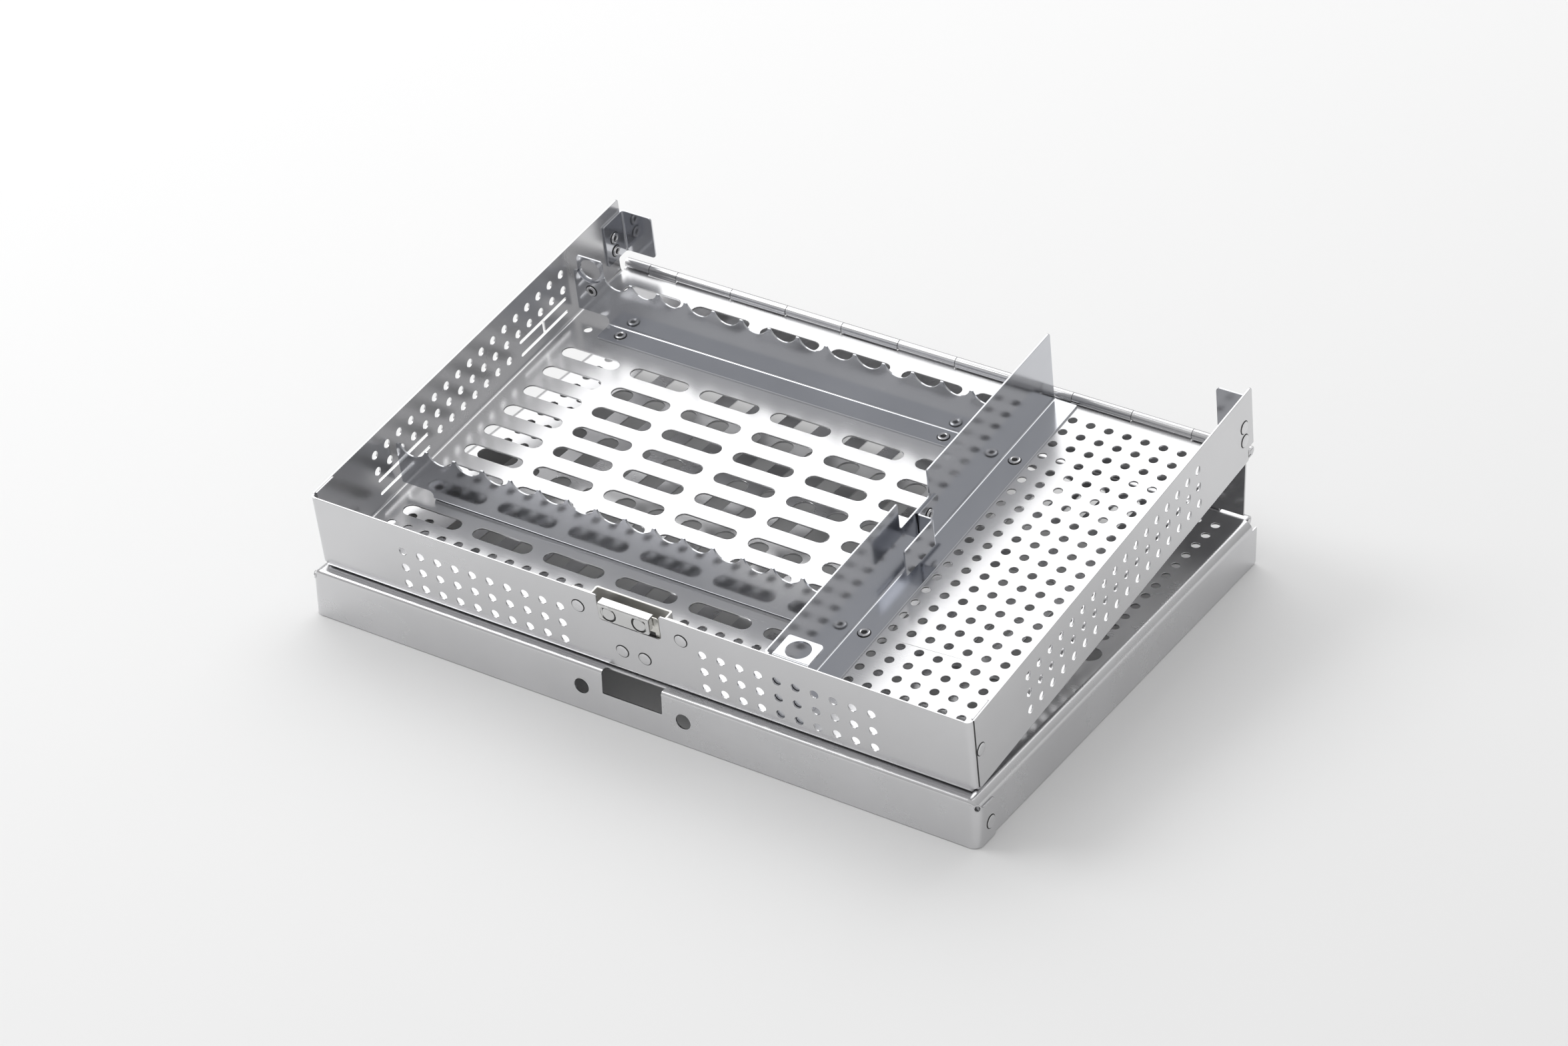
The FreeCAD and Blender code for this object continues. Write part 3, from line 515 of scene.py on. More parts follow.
def partitionEnd():
    part, left = partition, partitionX - sheet
    fold, front = part["fold"], part["front"]
    low, high = sheet + part["endLow"], tray["height"] - part["tabDrop"]
    corner = bend(left + fold, front + fold, fold, 180, 270, part["top"] - low, shift(0, 0, low))
    start = left + part["tabStart"]
    end = start + part["tabWidth"]
    flange = cutSheet(box(left + fold - lap, low, end, high - fold + lap), facingFront(front + sheet))
    roll = bend(front + fold, high - fold, fold, 90, 180, end - start, facingSide(start))
    outline = rounded(box(start, front + fold - lap, end, front + part["tabDepth"]), {2: 1.8, 3: 1.0})
    eye = circle((start + end) / 2, front + part["tabDepth"] / 2 + 0.3, part["tabHole"], 40)
    return [corner, flange, roll, cutSheet(outline, shift(0, 0, high - sheet), [eye])]


def partitionClip():
    fold, low, top = clip["fold"], clip["low"], clip["top"]
    near = partition["notchY"] + clip["bend"]
    outer = partitionX + clip["stand"] + sheet
    end = partition["notchY"] + clip["base"]
    outline = rounded(box(near + fold - lap, low, end, top), {1: 1.0, 2: 1.0})
    base = cutSheet(outline, facingSide(partitionX))
    lift = shift(0, 0, low)
    first = bend(partitionX + fold, near + fold, fold, 180, 270, top - low, lift)
    web = cutSheet(box(partitionX + fold - lap, low, outer - fold + lap, top), facingFront(near + sheet))
    second = bend(outer - fold, near + sheet - fold, fold, 0, 90, top - low, lift)
    end = near + sheet
    outline = rounded(box(end - clip["free"], low, end - fold + lap, top), {0: 0.8, 3: 0.8})
    return [base, first, web, second, cutSheet(outline, facingSide(outer - sheet))]


# Rear corner brackets
bracket = {"low": 7.9, "height": 19.2, "leg": 12.6, "flange": 14.4, "fold": 1.6, "rivets": (12.4, 18.6),
           "rivetY": -6.9}


def cornerBracket():
    rear = barrel["radius"] - sheet - 0.2
    low, top, fold = bracket["low"], bracket["low"] + bracket["height"], bracket["fold"]
    outline = rounded(box(-bracket["leg"], low, rear - fold + lap, top), {0: 0.6, 3: 0.6})
    leg = cutSheet(outline, facingSide(innerHalf - sheet))
    turn = bend(innerHalf - fold, rear - fold, fold, 0, 90, bracket["height"], shift(0, 0, low))
    end = innerHalf - fold + lap
    outline = rounded(box(innerHalf - bracket["flange"], low, end, top), {0: 1.6, 3: 1.6})
    return [leg, turn, cutSheet(outline, facingFront(rear))]


# Latch
guard = {"half": 16.2, "depth": 4.4, "low": 15.0, "drop": 0.3, "ear": 9.0, "fold": 1.0, "rivetX": 21.8,
         "rivetZ": 24.9}
# shade: lower and upper height of the strip of painted shade on the leaf under the button
leaf = {"thick": 0.5, "gap": 0.25, "half": 12.2, "footHalf": 9.0, "foot": 6.9, "neck": (14.5, 18.0),
        "top": 30.3, "play": 0.6, "rivetX": 4.8, "rivetZ": 9.9, "rivetHole": 1.8, "shade": (20.6, 23.6)}
button = {"half": 10.75, "out": 2.9, "low": 25.4, "top": 32.5, "chamfer": 1.0, "cheekIn": 0.9,
          "studX": 6.55, "studZ": 28.6, "stud": 2.6, "hole": 3.3, "neck": 1.4, "swage": 2.0}


def latchGuard():
    near, far = trayInner, trayInner + guard["depth"]
    half, fold, low, top = guard["half"], guard["fold"], guard["low"], tray["height"] - guard["drop"]
    web = cutSheet(box(fold - lap - half, low, half - fold + lap, top), facingFront(far))
    flap = rounded(box(half, low, half + guard["ear"], top), {1: 1.5, 2: 1.5})
    ends = [bend(half - fold, far - fold, fold, 0, 90, top - low, shift(0, 0, low), 6),
            cutSheet(box(near, low, far - fold + lap, top), facingSide(half - sheet)),
            cutSheet(flap, facingFront(near + sheet))]
    return [web, *pair(ends)]


# The leaf, and a strip of painted shade on it under the button
def latchSpring():
    foot, half, (low, high), top = leaf["footHalf"], leaf["half"], leaf["neck"], leaf["top"]
    outline = [(-foot, leaf["foot"]), (foot, leaf["foot"]), (foot, low), (half, high), (half, top),
               (-half, top), (-half, high), (-foot, low)]
    holes = [circle(side * leaf["rivetX"], leaf["rivetZ"], leaf["rivetHole"]) for side in (-1, 1)]
    front = trayInner + leaf["gap"]
    blade = cutSheet(rounded(outline, {0: 2, 1: 2, 4: 1, 5: 1}), facingFront(front + leaf["thick"]), holes,
                     leaf["thick"], 0.08)
    wide, (low, high) = button["half"] - 0.4, leaf["shade"]
    shade = cutSheet(box(-wide, low, wide, high), facingFront(front), (), 0.1, 0.03)
    return [blade, shaded(shade)]


def latchButton():
    front, back, half = trayFront - button["out"], trayInner - 0.1, button["half"]
    low, top, slant = button["low"], button["top"], button["chamfer"]
    holes = [circle(side * button["studX"], button["studZ"], button["hole"], 32) for side in (-1, 1)]
    outline = rounded(box(-half, low, half, top - slant + lap), {0: 0.9, 1: 0.9})
    face = cutSheet(outline, facingFront(front + sheet), holes)
    roof = cutSheet(box(-half, front + slant - lap, half, back), shift(0, 0, top - sheet))
    turn = bend(front + slant, top - slant, slant, 90, 180, 2 * half, facingSide(-half), 8)
    outline = rounded([(front + 0.2, low + 0.3), (back, low + 0.3), (back, top - 0.9),
                       (front + slant, top - 0.9), (front + 0.2, top - slant)], {0: 0.6, 1: 0.8})
    cheek = cutSheet(outline, facingSide(half - button["cheekIn"] - sheet))
    return [face, roof, turn, *pair([cheek])]


def latchStud():
    stud, neck, swage, wide = button["stud"], button["neck"], button["swage"], button["hole"] + 0.2
    front = trayFront - button["out"]
    place = shift(button["studX"], front, button["studZ"]) @ Matrix.Rotation(math.radians(-90), 4, "X")
    reach = trayInner + leaf["gap"] - front
    through = reach + leaf["thick"]
    profile = [(axis, 0), (stud - 0.25, 0), (stud, 0.2), (stud, reach), (neck, reach), (neck, through),
               (swage, through), (swage, through + 0.2), (axis, through + 0.2)]
    # a ring of painted shade in the gap round each stud
    ring = [(stud, 0.45), (wide, 0.45), (wide, sheet + 0.1), (stud, sheet + 0.1)]
    return pair([spun(profile, place, 32), shaded(spun(ring, place))])


# Spine
def spinePanel():
    low, high = lidHinge[2], trayHinge[2]
    edge, half = barrel["edge"], innerHalf - 1.6
    spans = knuckleSpans(False)
    outline = [(-half, low + edge)]
    for left, right in spans:
        outline += [(left, low + edge), (left, low), (right, low), (right, low + edge)]
    outline += [(half, low + edge), (half, high - edge)]
    for left, right in reversed(spans):
        outline += [(right, high - edge), (right, high), (left, high), (left, high - edge)]
    outline.append((-half, high - edge))
    y = lidHinge[1]
    panel = cutSheet(outline, facingFront(y - barrel["radius"] + sheet))
    return [panel, *knuckles(False, y, high, -100, 180), *knuckles(False, y, low, 180, 460)]


def hingePin(at):
    reach = barrel["half"]
    turn = shift(-reach, at[1], at[2]) @ Matrix.Rotation(math.radians(90), 4, "Y")
    radius = barrel["pin"]
    profile = [(axis, 0), (radius - 0.2, 0), (radius, 0.2), (radius, 2 * reach - 0.2),
               (radius - 0.2, 2 * reach), (axis, 2 * reach)]
    return [spun(profile, turn, 24)]


# Lid
lidPattern = {"edgeColumn": 11.1, "rearRow": 11.6, "frontRow": 15.0, "slotWidth": 8.0, "slotLength": 26.0,
              "slotStepX": 14.8, "slotStepY": 32.0, "slotRear": 23.5, "slotFront": 21.0, "slotSide": 30.9,
              "sideSlotIn": 14.6, "sideSlot": (17.0, 9.0), "rearPlain": 10.3, "holeClear": 0.65}
relief = {"radius": 1.2, "height": 17.0, "depth": 2.5, "tilt": 0.35,
          "rim": [(1.0, -0.5), (1.0, 0.02), (1.1, 0.18), (1.3, 0.18), (1.45, 0.02), (1.45, -0.5)]}
# A height on the tray plus this is the height on the lid that it meets when the cassette is closed.
closedDrop = lid["height"] - (trayHinge[2] - lidHinge[2] + 2 * barrel["radius"])
cutOut = {"half": button["half"] + 2.0, "low": closedDrop + 24.8, "depth": 3.2}


def lidTop():
    pattern, half, hinge = lidPattern, lid["width"] / 2, lidHinge[1]
    outer = half - pattern["edgeColumn"]
    middle = lidFront + (lid["depth"] - pattern["rearPlain"]) / 2
    clear = (pattern["sideSlot"][1] + pitch) / 2
    holes = []
    for y in steps(hinge - pattern["rearRow"], lidFront + pattern["frontRow"], pitch):
        if abs(y - middle) > clear:
            holes += [circle(x, y, holeRadius) for x in (-outer, pitch - outer, outer - pitch, outer)]
    for side in (-1, 1):
        holes.append(stadium(side * (half - pattern["sideSlotIn"]), middle, *pattern["sideSlot"]))
    for x in steps(pattern["slotStepX"] / 2, half - pattern["slotSide"], pattern["slotStepX"]):
        for y in steps(hinge - pattern["slotRear"], lidFront + pattern["slotFront"], pattern["slotStepY"]):
            holes += [stadium(side * x, y, pattern["slotLength"], pattern["slotWidth"], True)
                      for side in (-1, 1)]
    width, front = half - lid["sideFold"] + lap, lidFront + lid["fold"] - lap
    outline = toothed(front, hinge, hinge - barrel["edge"], -width, width)
    cut, deep = cutOut["half"], lidFront + cutOut["depth"]
    window = [(-cut, front), (-cut, deep), (cut, deep), (cut, front)]
    return cutSheet(outline[:1] + window + outline[1:], shift(0, 0, lid["height"] - sheet), holes)


def lidSide():
    fold, half = lid["sideFold"], lid["width"] / 2
    start, end = lidFront + lid["seam"], lidHinge[1] + lid["rearRun"]
    outline = rounded(box(start, 0, end, lid["height"] - fold + lap), {1: 1.0})
    rear = lidHinge[1] - barrel["edge"]
    run = rear - lidFront - lid["fold"]
    turn = bend(half - fold, lid["height"] - fold, fold, 0, 90, run, facingFront(rear), 12)
    return [cutSheet(outline, facingSide(half - sheet)), turn]


# Top corner drawn over from the front fold to the side fold, with a straight run down to the corner turn
def lidCorner():
    wide, deep, around, up = lid["sideFold"], lid["fold"], 8, 6
    middle = Vector((lid["width"] / 2 - wide, lidFront + deep))
    loops = []
    for step in range(around + 1):
        turn = math.radians(90 * step / around)
        height = deep + (wide - deep) * math.sin(turn) ** 2
        sides = []
        for inset in (0, sheet):
            across, out = wide - inset, deep - inset
            row = [(middle.x + across * math.sin(turn), middle.y - out * math.cos(turn),
                    lid["height"] - height - lead)]
            for rise in range(up + 1):
                lift = math.radians(90 * rise / up)
                row.append((middle.x + across * math.cos(lift) * math.sin(turn),
                            middle.y - out * math.cos(lift) * math.cos(turn),
                            lid["height"] - height + (height - inset) * math.sin(lift)))
            sides.append(row)
        loops.append(sides[0] + sides[1][::-1])
    return fromGrid(loops, onFloor)


# Front sheet turned round the corner, its upper edge falling from the front fold to the tab
def cornerTurn(flat, low, high):
    radius, count = lid["corner"], 12
    outer, inner = (arc(flat, lidFront + radius, size, -90, 0, count, (lead, lead))
                    for size in (radius, radius - sheet))
    rows = []
    for step, (out, back) in enumerate(zip(outer, inner)):
        top = high + (low - high) * min(max(step - 1, 0), count) / count
        rows.append([(*out, 0), (*out, top), (*back, top), (*back, 0)])
    return fromGrid(rows, onFloor)


# Smoothed rim of the clearance hole for a rivet head
def holeRim(x, z):
    radius = rivetHead["radius"] + lidPattern["holeClear"]
    place = shift(x, lidFront, z) @ Matrix.Rotation(math.radians(-90), 4, "X")
    profile = [(radius, 0.3), (radius, 0.04), (radius + 0.12, -0.08), (radius + 0.34, -0.08),
               (radius + 0.5, 0.02), (radius + 0.5, 0.3)]
    return openRing(profile, place)


def lidFrontWall():
    corner, fold = lid["corner"], lid["fold"]
    flat, top = lid["width"] / 2 + sheet - corner, lid["height"] - fold
    cut, low = cutOut["half"], cutOut["low"]
    rivetX, rivetZ = guard["rivetX"], closedDrop + guard["rivetZ"]
    holes = [circle(side * rivetX, rivetZ, rivetHead["radius"] + lidPattern["holeClear"], 32)
             for side in (-1, 1)]
    end, rim = flat + lap, top + lap
    outline = [(-end, 0), (end, 0), (end, rim), (cut, rim), (cut, low), (-cut, low), (-cut, rim),
               (-end, rim)]
    wall = cutSheet(rounded(outline, {4: 0.5, 5: 0.5}), facingFront(lidFront + sheet), holes)
    run = lid["width"] / 2 - lid["sideFold"] - cut
    roll = bend(lidFront + fold, top, fold, 90, 180, run, facingSide(cut))
    tall, out = lid["height"] - lid["sideFold"] + 0.2, corner * math.sqrt(0.5)
    drill = (shift(flat + out, lidFront + corner - out, relief["height"])
             @ Vector((1, -1, relief["tilt"])).to_track_quat("Z", "Y").to_matrix().to_4x4())
    turns = drilled([lidCorner(), cornerTurn(flat, tall, top)], drill, relief["radius"], relief["depth"])
    start = lidFront + corner
    tab = cutSheet(rounded(box(start - lap, 0, start + lid["tab"], tall), {1: 1.0, 2: 1.6}),
                   facingSide(lid["width"] / 2))
    return [wall, *pair([roll, *turns, openRing(relief["rim"], drill), holeRim(rivetX, rivetZ), tab])]


def lidShell():
    barrels = knuckles(True, lidHinge[1], lidHinge[2], -barrel["end"], 90)
    return [lidTop(), *pair(lidSide()), *lidFrontWall(), *barrels]


# Shading groups
def newGroup(name, inputs, outputs):
    group = bpy.data.node_groups.new(name, "ShaderNodeTree")
    for way, sockets in (("INPUT", inputs), ("OUTPUT", outputs)):
        for title, kind in sockets:
            group.interface.new_socket(title, in_out=way, socket_type=kind)
    return group, group.nodes.new("NodeGroupInput"), group.nodes.new("NodeGroupOutput")


def mathNode(tree, operation, first, second, clamp=False):
    node = tree.nodes.new("ShaderNodeMath")
    node.operation, node.use_clamp = operation, clamp
    for slot, value in zip(node.inputs, (first, second)):
        if isinstance(value, (int, float)):
            slot.default_value = value
        else:
            tree.links.new(value, slot)
    return node.outputs[0]


def noiseNode(tree, vector, scale, detail, rough=0.5):
    node = tree.nodes.new("ShaderNodeTexNoise")
    tree.links.new(vector, node.inputs["Vector"])
    if isinstance(scale, (int, float)):
        node.inputs["Scale"].default_value = scale
    else:
        tree.links.new(scale, node.inputs["Scale"])
    node.inputs["Detail"].default_value = detail
    node.inputs["Roughness"].default_value = rough
    return node.outputs["Fac"]


# Fine lines left by the belt, along one direction of the sheet, in the piece's own metres.
def makeBrushGroup():
    group, start, end = newGroup(
        "brushedLines", [("Vector", "NodeSocketVector"), ("Stretch", "NodeSocketVector")],
        [("Lines", "NodeSocketFloat")])
    scale = group.nodes.new("ShaderNodeVectorMath")
    scale.operation = "MULTIPLY"
    group.links.new(start.outputs["Vector"], scale.inputs[0])
    group.links.new(start.outputs["Stretch"], scale.inputs[1])
    fine = noiseNode(group, scale.outputs[0], 1.0, 2.0, 0.6)
    broad = noiseNode(group, scale.outputs[0], 0.23, 2.0)
    fine = mathNode(group, "MULTIPLY", fine, 0.65)
    broad = mathNode(group, "MULTIPLY", broad, 0.35)
    group.links.new(mathNode(group, "ADD", fine, broad), end.inputs["Lines"])
    return group


# Handling marks: soft clouds from washing and steam, and a few short fine scratches.
def makeMarksGroup():
    group, start, end = newGroup(
        "handlingMarks",
        [("Vector", "NodeSocketVector"), ("Cloud Scale", "NodeSocketFloat"),
         ("Scratch Amount", "NodeSocketFloat"), ("Wave Scale", "NodeSocketFloat")],
        [("Clouds", "NodeSocketFloat"), ("Scratches", "NodeSocketFloat"), ("Waves", "NodeSocketFloat")])
    clouds = noiseNode(group, start.outputs["Vector"], start.outputs["Cloud Scale"], 5.0, 0.55)
    spread = group.nodes.new("ShaderNodeMapRange")
    spread.inputs["From Min"].default_value, spread.inputs["From Max"].default_value = 0.32, 0.7
    group.links.new(clouds, spread.inputs["Value"])
    group.links.new(spread.outputs[0], end.inputs["Clouds"])
    lines = None
    for turn, scale in ((0.5, 90.0), (2.1, 70.0), (-0.9, 120.0)):
        mapping = group.nodes.new("ShaderNodeMapping")
        mapping.inputs["Rotation"].default_value = (turn * 0.4, turn * 0.7, turn)
        mapping.inputs["Scale"].default_value = (0.07, 1.0, 1.0)
        group.links.new(start.outputs["Vector"], mapping.inputs["Vector"])
        cells = group.nodes.new("ShaderNodeTexVoronoi")
        cells.feature = "DISTANCE_TO_EDGE"
        cells.inputs["Scale"].default_value = scale
        group.links.new(mapping.outputs[0], cells.inputs["Vector"])
        thin = group.nodes.new("ShaderNodeMapRange")
        thin.inputs["From Min"].default_value, thin.inputs["From Max"].default_value = 0.0, 0.012
        thin.inputs["To Min"].default_value, thin.inputs["To Max"].default_value = 1.0, 0.0
        group.links.new(cells.outputs["Distance"], thin.inputs["Value"])
        patch = noiseNode(group, start.outputs["Vector"], scale * 0.5, 1.0)
        shown = mathNode(group, "MULTIPLY", thin.outputs[0], mathNode(group, "GREATER_THAN", patch, 0.6))
        lines = shown if lines is None else mathNode(group, "MAXIMUM", lines, shown)
    lines = mathNode(group, "MULTIPLY", lines, start.outputs["Scratch Amount"])
    group.links.new(lines, end.inputs["Scratches"])
    waves = noiseNode(group, start.outputs["Vector"], start.outputs["Wave Scale"], 1.0, 0.4)
    group.links.new(waves, end.inputs["Waves"])
    return group


brushGroup, marksGroup = makeBrushGroup(), makeMarksGroup()


scratch = {"rough": 0.15, "depth": 0.4}


def steel(name, finish):
    material = bpy.data.materials.new(name)
    material.use_nodes = True
    tree = material.node_tree
    shader = tree.nodes["Principled BSDF"]
    shader.inputs["Metallic"].default_value = finish["metallic"]
    place = tree.nodes.new("ShaderNodeTexCoord").outputs["Object"]
    brush = tree.nodes.new("ShaderNodeGroup")
    brush.node_tree = brushGroup
    brush.inputs["Stretch"].default_value = finish["stretch"]
    marks = tree.nodes.new("ShaderNodeGroup")
    marks.node_tree = marksGroup
    marks.inputs["Cloud Scale"].default_value = finish["cloudScale"]
    marks.inputs["Scratch Amount"].default_value = finish["scratches"]
    marks.inputs["Wave Scale"].default_value = finish["waveScale"]
    tree.links.new(place, brush.inputs["Vector"])
    tree.links.new(place, marks.inputs["Vector"])
    tint = tree.nodes.new("ShaderNodeMix")
    tint.data_type = "RGBA"
    tint.inputs[6].default_value = (*finish["dark"], 1)
    tint.inputs[7].default_value = (*finish["light"], 1)
    grain = mathNode(tree, "MULTIPLY", brush.outputs["Lines"], finish["grainTint"])
    cloud = mathNode(tree, "MULTIPLY", marks.outputs["Clouds"], 1 - finish["grainTint"])
    tree.links.new(mathNode(tree, "ADD", grain, cloud, True), tint.inputs[0])
    tree.links.new(tint.outputs[2], shader.inputs["Base Color"])
    low, high = finish["roughness"]
    span = mathNode(tree, "MULTIPLY", marks.outputs["Clouds"], high - low)
    lines = mathNode(tree, "MULTIPLY", brush.outputs["Lines"], finish["grainRough"])
    marked = mathNode(tree, "MULTIPLY", marks.outputs["Scratches"], scratch["rough"])
    rough = mathNode(tree, "ADD", mathNode(tree, "ADD", span, low), mathNode(tree, "ADD", lines, marked))
    tree.links.new(rough, shader.inputs["Roughness"])
    bump = tree.nodes.new("ShaderNodeBump")
    bump.inputs["Distance"].default_value = finish["bump"] * 0.001
    height = mathNode(tree, "SUBTRACT", brush.outputs["Lines"],
                      mathNode(tree, "MULTIPLY", marks.outputs["Scratches"], scratch["depth"]))
    tree.links.new(height, bump.inputs["Height"])
    waves = tree.nodes.new("ShaderNodeBump")
    waves.inputs["Distance"].default_value = finish["wave"] * 0.001
    tree.links.new(marks.outputs["Waves"], waves.inputs["Height"])
    tree.links.new(waves.outputs[0], bump.inputs["Normal"])
    tree.links.new(bump.outputs[0], shader.inputs["Normal"])
    return material


alongX, alongZ = (12, 2600, 2600), (2600, 2600, 12)
common = {"stretch": alongX, "metallic": 1.0, "grainTint": 0.4, "grainRough": 0.05, "scratches": 0.1,
          "bump": 0.003, "waveScale": 100, "wave": 0.01}
finishes = {
    "traySteel": {"light": (0.71, 0.71, 0.72), "dark": (0.65, 0.65, 0.66), "roughness": (0.18, 0.25),
                  "metallic": 0.85, "grainTint": 0.3, "cloudScale": 18, "bump": 0.0015, "waveScale": 35,
                  "wave": 0.012},
    "lidSteel": {"light": (0.70, 0.70, 0.71), "dark": (0.62, 0.62, 0.63), "roughness": (0.2, 0.28),
                 "stretch": (12, 1300, 1300), "grainTint": 0.35, "grainRough": 0.04, "cloudScale": 24,
                 "scratches": 0.06, "bump": 0.0004, "waveScale": 60, "wave": 0.05},
    "polishedSteel": {"light": (0.63, 0.64, 0.67), "dark": (0.58, 0.59, 0.62), "roughness": (0.12, 0.15),
                      "grainTint": 0.2, "grainRough": 0.02, "cloudScale": 26, "scratches": 0.04,
                      "bump": 0.0003, "waveScale": 25, "wave": 0.006},
    "rivetSteel": {"light": (0.76, 0.76, 0.77), "dark": (0.62, 0.62, 0.63), "roughness": (0.16, 0.26),
                   "stretch": (900, 900, 900), "grainTint": 0.5, "cloudScale": 220, "waveScale": 300,
                   "wave": 0.03},
    "buttonSteel": {"light": (0.69, 0.69, 0.685), "dark": (0.61, 0.61, 0.605), "roughness": (0.16, 0.22),
                    "grainRough": 0.03, "cloudScale": 90, "bump": 0.0006, "waveScale": 150},
    "springSteel": {"light": (0.78, 0.77, 0.73), "dark": (0.70, 0.69, 0.65), "roughness": (0.22, 0.32),
                    "cloudScale": 120},
    "guardSteel": {"light": (0.82, 0.81, 0.78), "dark": (0.74, 0.73, 0.70), "roughness": (0.36, 0.46),
                   "metallic": 0.85, "cloudScale": 120},
    "pinSteel": {"light": (0.70, 0.70, 0.71), "dark": (0.58, 0.58, 0.59), "roughness": (0.2, 0.3),
                 "cloudScale": 60},
    "spineSteel": {"light": (0.68, 0.68, 0.69), "dark": (0.60, 0.60, 0.61), "roughness": (0.12, 0.2),
                   "grainTint": 0.35, "cloudScale": 40, "scratches": 0.12, "bump": 0.002,
                   "waveScale": 50, "wave": 0.04},
    # seamShade: near-black painted shade for joints, gaps, bores and the rings round heads
    "seamShade": {"light": (0.12, 0.12, 0.12), "dark": (0.06, 0.06, 0.06), "roughness": (0.5, 0.6),
                  "stretch": alongZ, "cloudScale": 60, "bump": 0.002, "waveScale": 60, "wave": 0.0},
}
metal = {name: steel(name, {**common, **finish}) for name, finish in finishes.items()}
print("materials:", ", ".join(metal))


# The side walls' cut front edges get painted shade, for the shade of the wrapped corner that they stand in.
def shadeSeams(piece):
    mesh = piece.data
    mesh.materials.append(metal["seamShade"])
    back = (Matrix.Scale(0.001, 4) @ trayPlace).inverted()
    near, outside = 0.13, innerHalf + 0.05
    for face in mesh.polygons:
        middle = back @ face.center
        if abs(middle.y - trayFront - tray["seam"]) < near and abs(middle.x) > outside:
            face.material_index = 1


# Every piece on its body, in place of its solid: leaning as the tray does, or level
def leaning(name, meshes, material, body="tray"):
    return pieceOf(name, meshes, trayPlace, body, metal[material])


def level(name, meshes, material, body):
    pieceOf(name, meshes, lidPlace, body, metal[material])


def polished(name, meshes):
    leaning(name, meshes, "polishedSteel")


def riveted(name, meshes):
    leaning(name, meshes, "rivetSteel")


shadeSeams(leaning("tray_shell", trayShell(), "traySteel"))
at = (tray["width"] / 2, trayFront + tray["rivetBack"], tray["rivetHeight"])
riveted("tray_corner_rivets", pair(rivet(at, toLeft, tray["rivetHead"], line=tray["rivetLine"])))
rightBracket = cornerBracket()
polished("right_corner_bracket", rightBracket)
polished("left_corner_bracket", mirrored(rightBracket))
bracketRivets = [part for z in bracket["rivets"]
                 for part in rivet((tray["width"] / 2, bracket["rivetY"], z), toLeft)]
riveted("bracket_rivets", pair(bracketRivets))
for end, way in (("rear", -1), ("front", 1)):
    polished(end + "_rack", rack(rackY[end], way))
    riveted(end + "_rack_rivets", rackRivets(rackY[end], way))
polished("rack_ear", rackEar())
at = (scallop["first"], rackY["rear"] + 2 * sheet, ear["rivet"])
riveted("ear_rivet", rivet(at, toFront, eyelet["radius"]))
polished("partition", partitionWall() + partitionEnd())
footMiddle = partitionX + partition["foot"] / 2
riveted("partition_rivets", [part for y in partition["rivets"]
                             for part in rivet((footMiddle, y, 0), upward, eyelet["radius"])])
polished("partition_clip", partitionClip())
at = (partitionX - sheet, partition["notchY"] + clip["rivetBack"], clip["rivetHeight"])
riveted("clip_rivet", rivet(at, toRight, eyelet["radius"]))
leaning("latch_guard", latchGuard(), "guardSteel")
riveted("latch_guard_rivets", pair(rivet((guard["rivetX"], trayFront, guard["rivetZ"]), toRear)))
grip = sheet + leaf["gap"] + leaf["thick"] + leaf["play"]
riveted("latch_spring_rivets", pair(rivet((leaf["rivetX"], trayFront, leaf["rivetZ"]), toRear, grip=grip)))
leaning("latch_spring", latchSpring(), "springSteel", "latch")
leaning("latch_button", latchButton(), "buttonSteel", "latch")
leaning("latch_button_studs", latchStud(), "buttonSteel", "latch")
level("tray_hinge_pin", hingePin(trayHinge), "pinSteel", "tray")
level("spine_panel", spinePanel(), "spineSteel", "spine")
level("lid_shell", lidShell(), "lidSteel", "lid")
at = (lid["width"] / 2 + sheet, lidFront + lid["rivetBack"], lid["rivetHeight"])
level("lid_corner_rivets", pair(rivet(at, toLeft, foot=False)), "rivetSteel", "lid")
level("lid_hinge_pin", hingePin(lidHinge), "pinSteel", "lid")


# Floor, light and camera
def paper(name, colour):
    material = bpy.data.materials.new(name)
    material.use_nodes = True
    shader = material.node_tree.nodes["Principled BSDF"]
    shader.inputs["Base Color"].default_value = (*colour, 1)
    shader.inputs["Roughness"].default_value = 0.9
    return material


def studioFloor():
    mesh = bpy.data.meshes.new("floor")
    reach = 6.0
    mesh.from_pydata([(-reach, -reach, 0), (reach, -reach, 0), (reach, reach, 0), (-reach, reach, 0)], [],
                     [(0, 1, 2, 3)])
    item = bpy.data.objects.new("floor", mesh)
    mesh.materials.append(paper("palePaper", (0.88, 0.88, 0.88)))
    item.location.z = -0.0002
    bpy.context.scene.collection.objects.link(item)


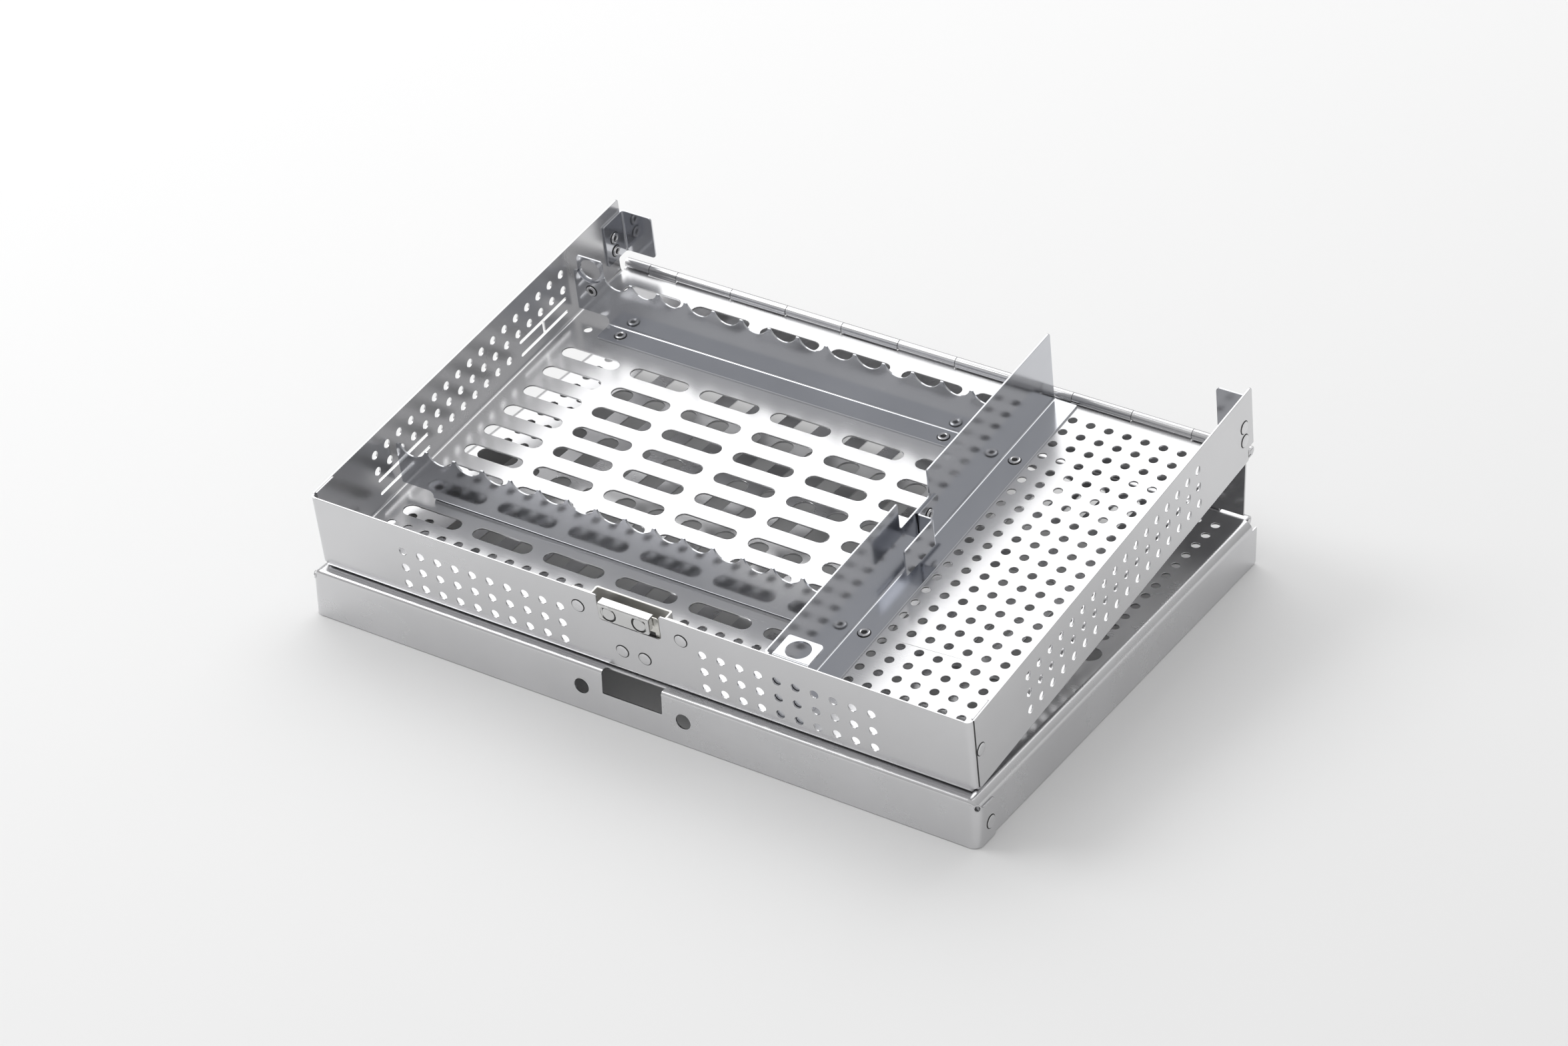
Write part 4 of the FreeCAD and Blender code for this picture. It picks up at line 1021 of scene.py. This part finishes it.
def softbox(name, at, aim, size, power):
    lamp = bpy.data.lights.new(name, "AREA")
    lamp.shape, lamp.size, lamp.size_y, lamp.energy = "RECTANGLE", *size, power
    item = bpy.data.objects.new(name, lamp)
    item.location = at
    item.rotation_euler = (Vector(aim) - Vector(at)).to_track_quat("-Z", "Y").to_euler()
    bpy.context.scene.collection.objects.link(item)


def world(horizon, zenith):
    made = bpy.data.worlds.new("studio")
    bpy.context.scene.world = made
    made.use_nodes = True
    tree = made.node_tree
    sky = tree.nodes["Background"]
    sky.inputs["Color"].default_value = (1, 1, 1, 1)
    parts = tree.nodes.new("ShaderNodeSeparateXYZ")
    tree.links.new(tree.nodes.new("ShaderNodeTexCoord").outputs["Generated"], parts.inputs[0])
    ramp = tree.nodes.new("ShaderNodeMapRange")
    ramp.inputs["From Max"].default_value = 0.7
    ramp.inputs["To Min"].default_value, ramp.inputs["To Max"].default_value = horizon, zenith
    tree.links.new(parts.outputs["Z"], ramp.inputs["Value"])
    tree.links.new(ramp.outputs[0], sky.inputs["Strength"])


def camera():
    view = {"azimuth": -33.29, "elevation": 33.22, "roll": -1.57, "lens": 104.97,
            "at": (0.7747, lidFront / 1000 - 1.0781, 0.954)}
    turn, rise, roll = (math.radians(view[key]) for key in ("azimuth", "elevation", "roll"))
    forward = Vector((math.sin(turn) * math.cos(rise), math.cos(turn) * math.cos(rise), -math.sin(rise)))
    flat = Vector((math.cos(turn), -math.sin(turn), 0))
    upright = flat.cross(forward)
    right = math.cos(roll) * flat + math.sin(roll) * upright
    up = math.cos(roll) * upright - math.sin(roll) * flat
    lens = bpy.data.cameras.new("view")
    lens.sensor_width, lens.lens, lens.clip_start = 36, view["lens"], 0.05
    item = bpy.data.objects.new("view", lens)
    item.matrix_world = Matrix.Translation(view["at"]) @ Matrix((right, up, -forward)).transposed().to_4x4()
    bpy.context.scene.collection.objects.link(item)
    bpy.context.scene.camera = item


studioFloor()
softbox("overhead", (-0.6, 1.0, 1.35), (0, 0, 0.03), (2.2, 1.6), 14)
softbox("key", (-1.2, -0.4, 1.4), (0, 0, 0.03), (0.9, 0.9), 9)
world(0.46, 0.62)
camera()
bpy.context.scene.view_settings.view_transform = "Standard"
print("stage, light and camera set")
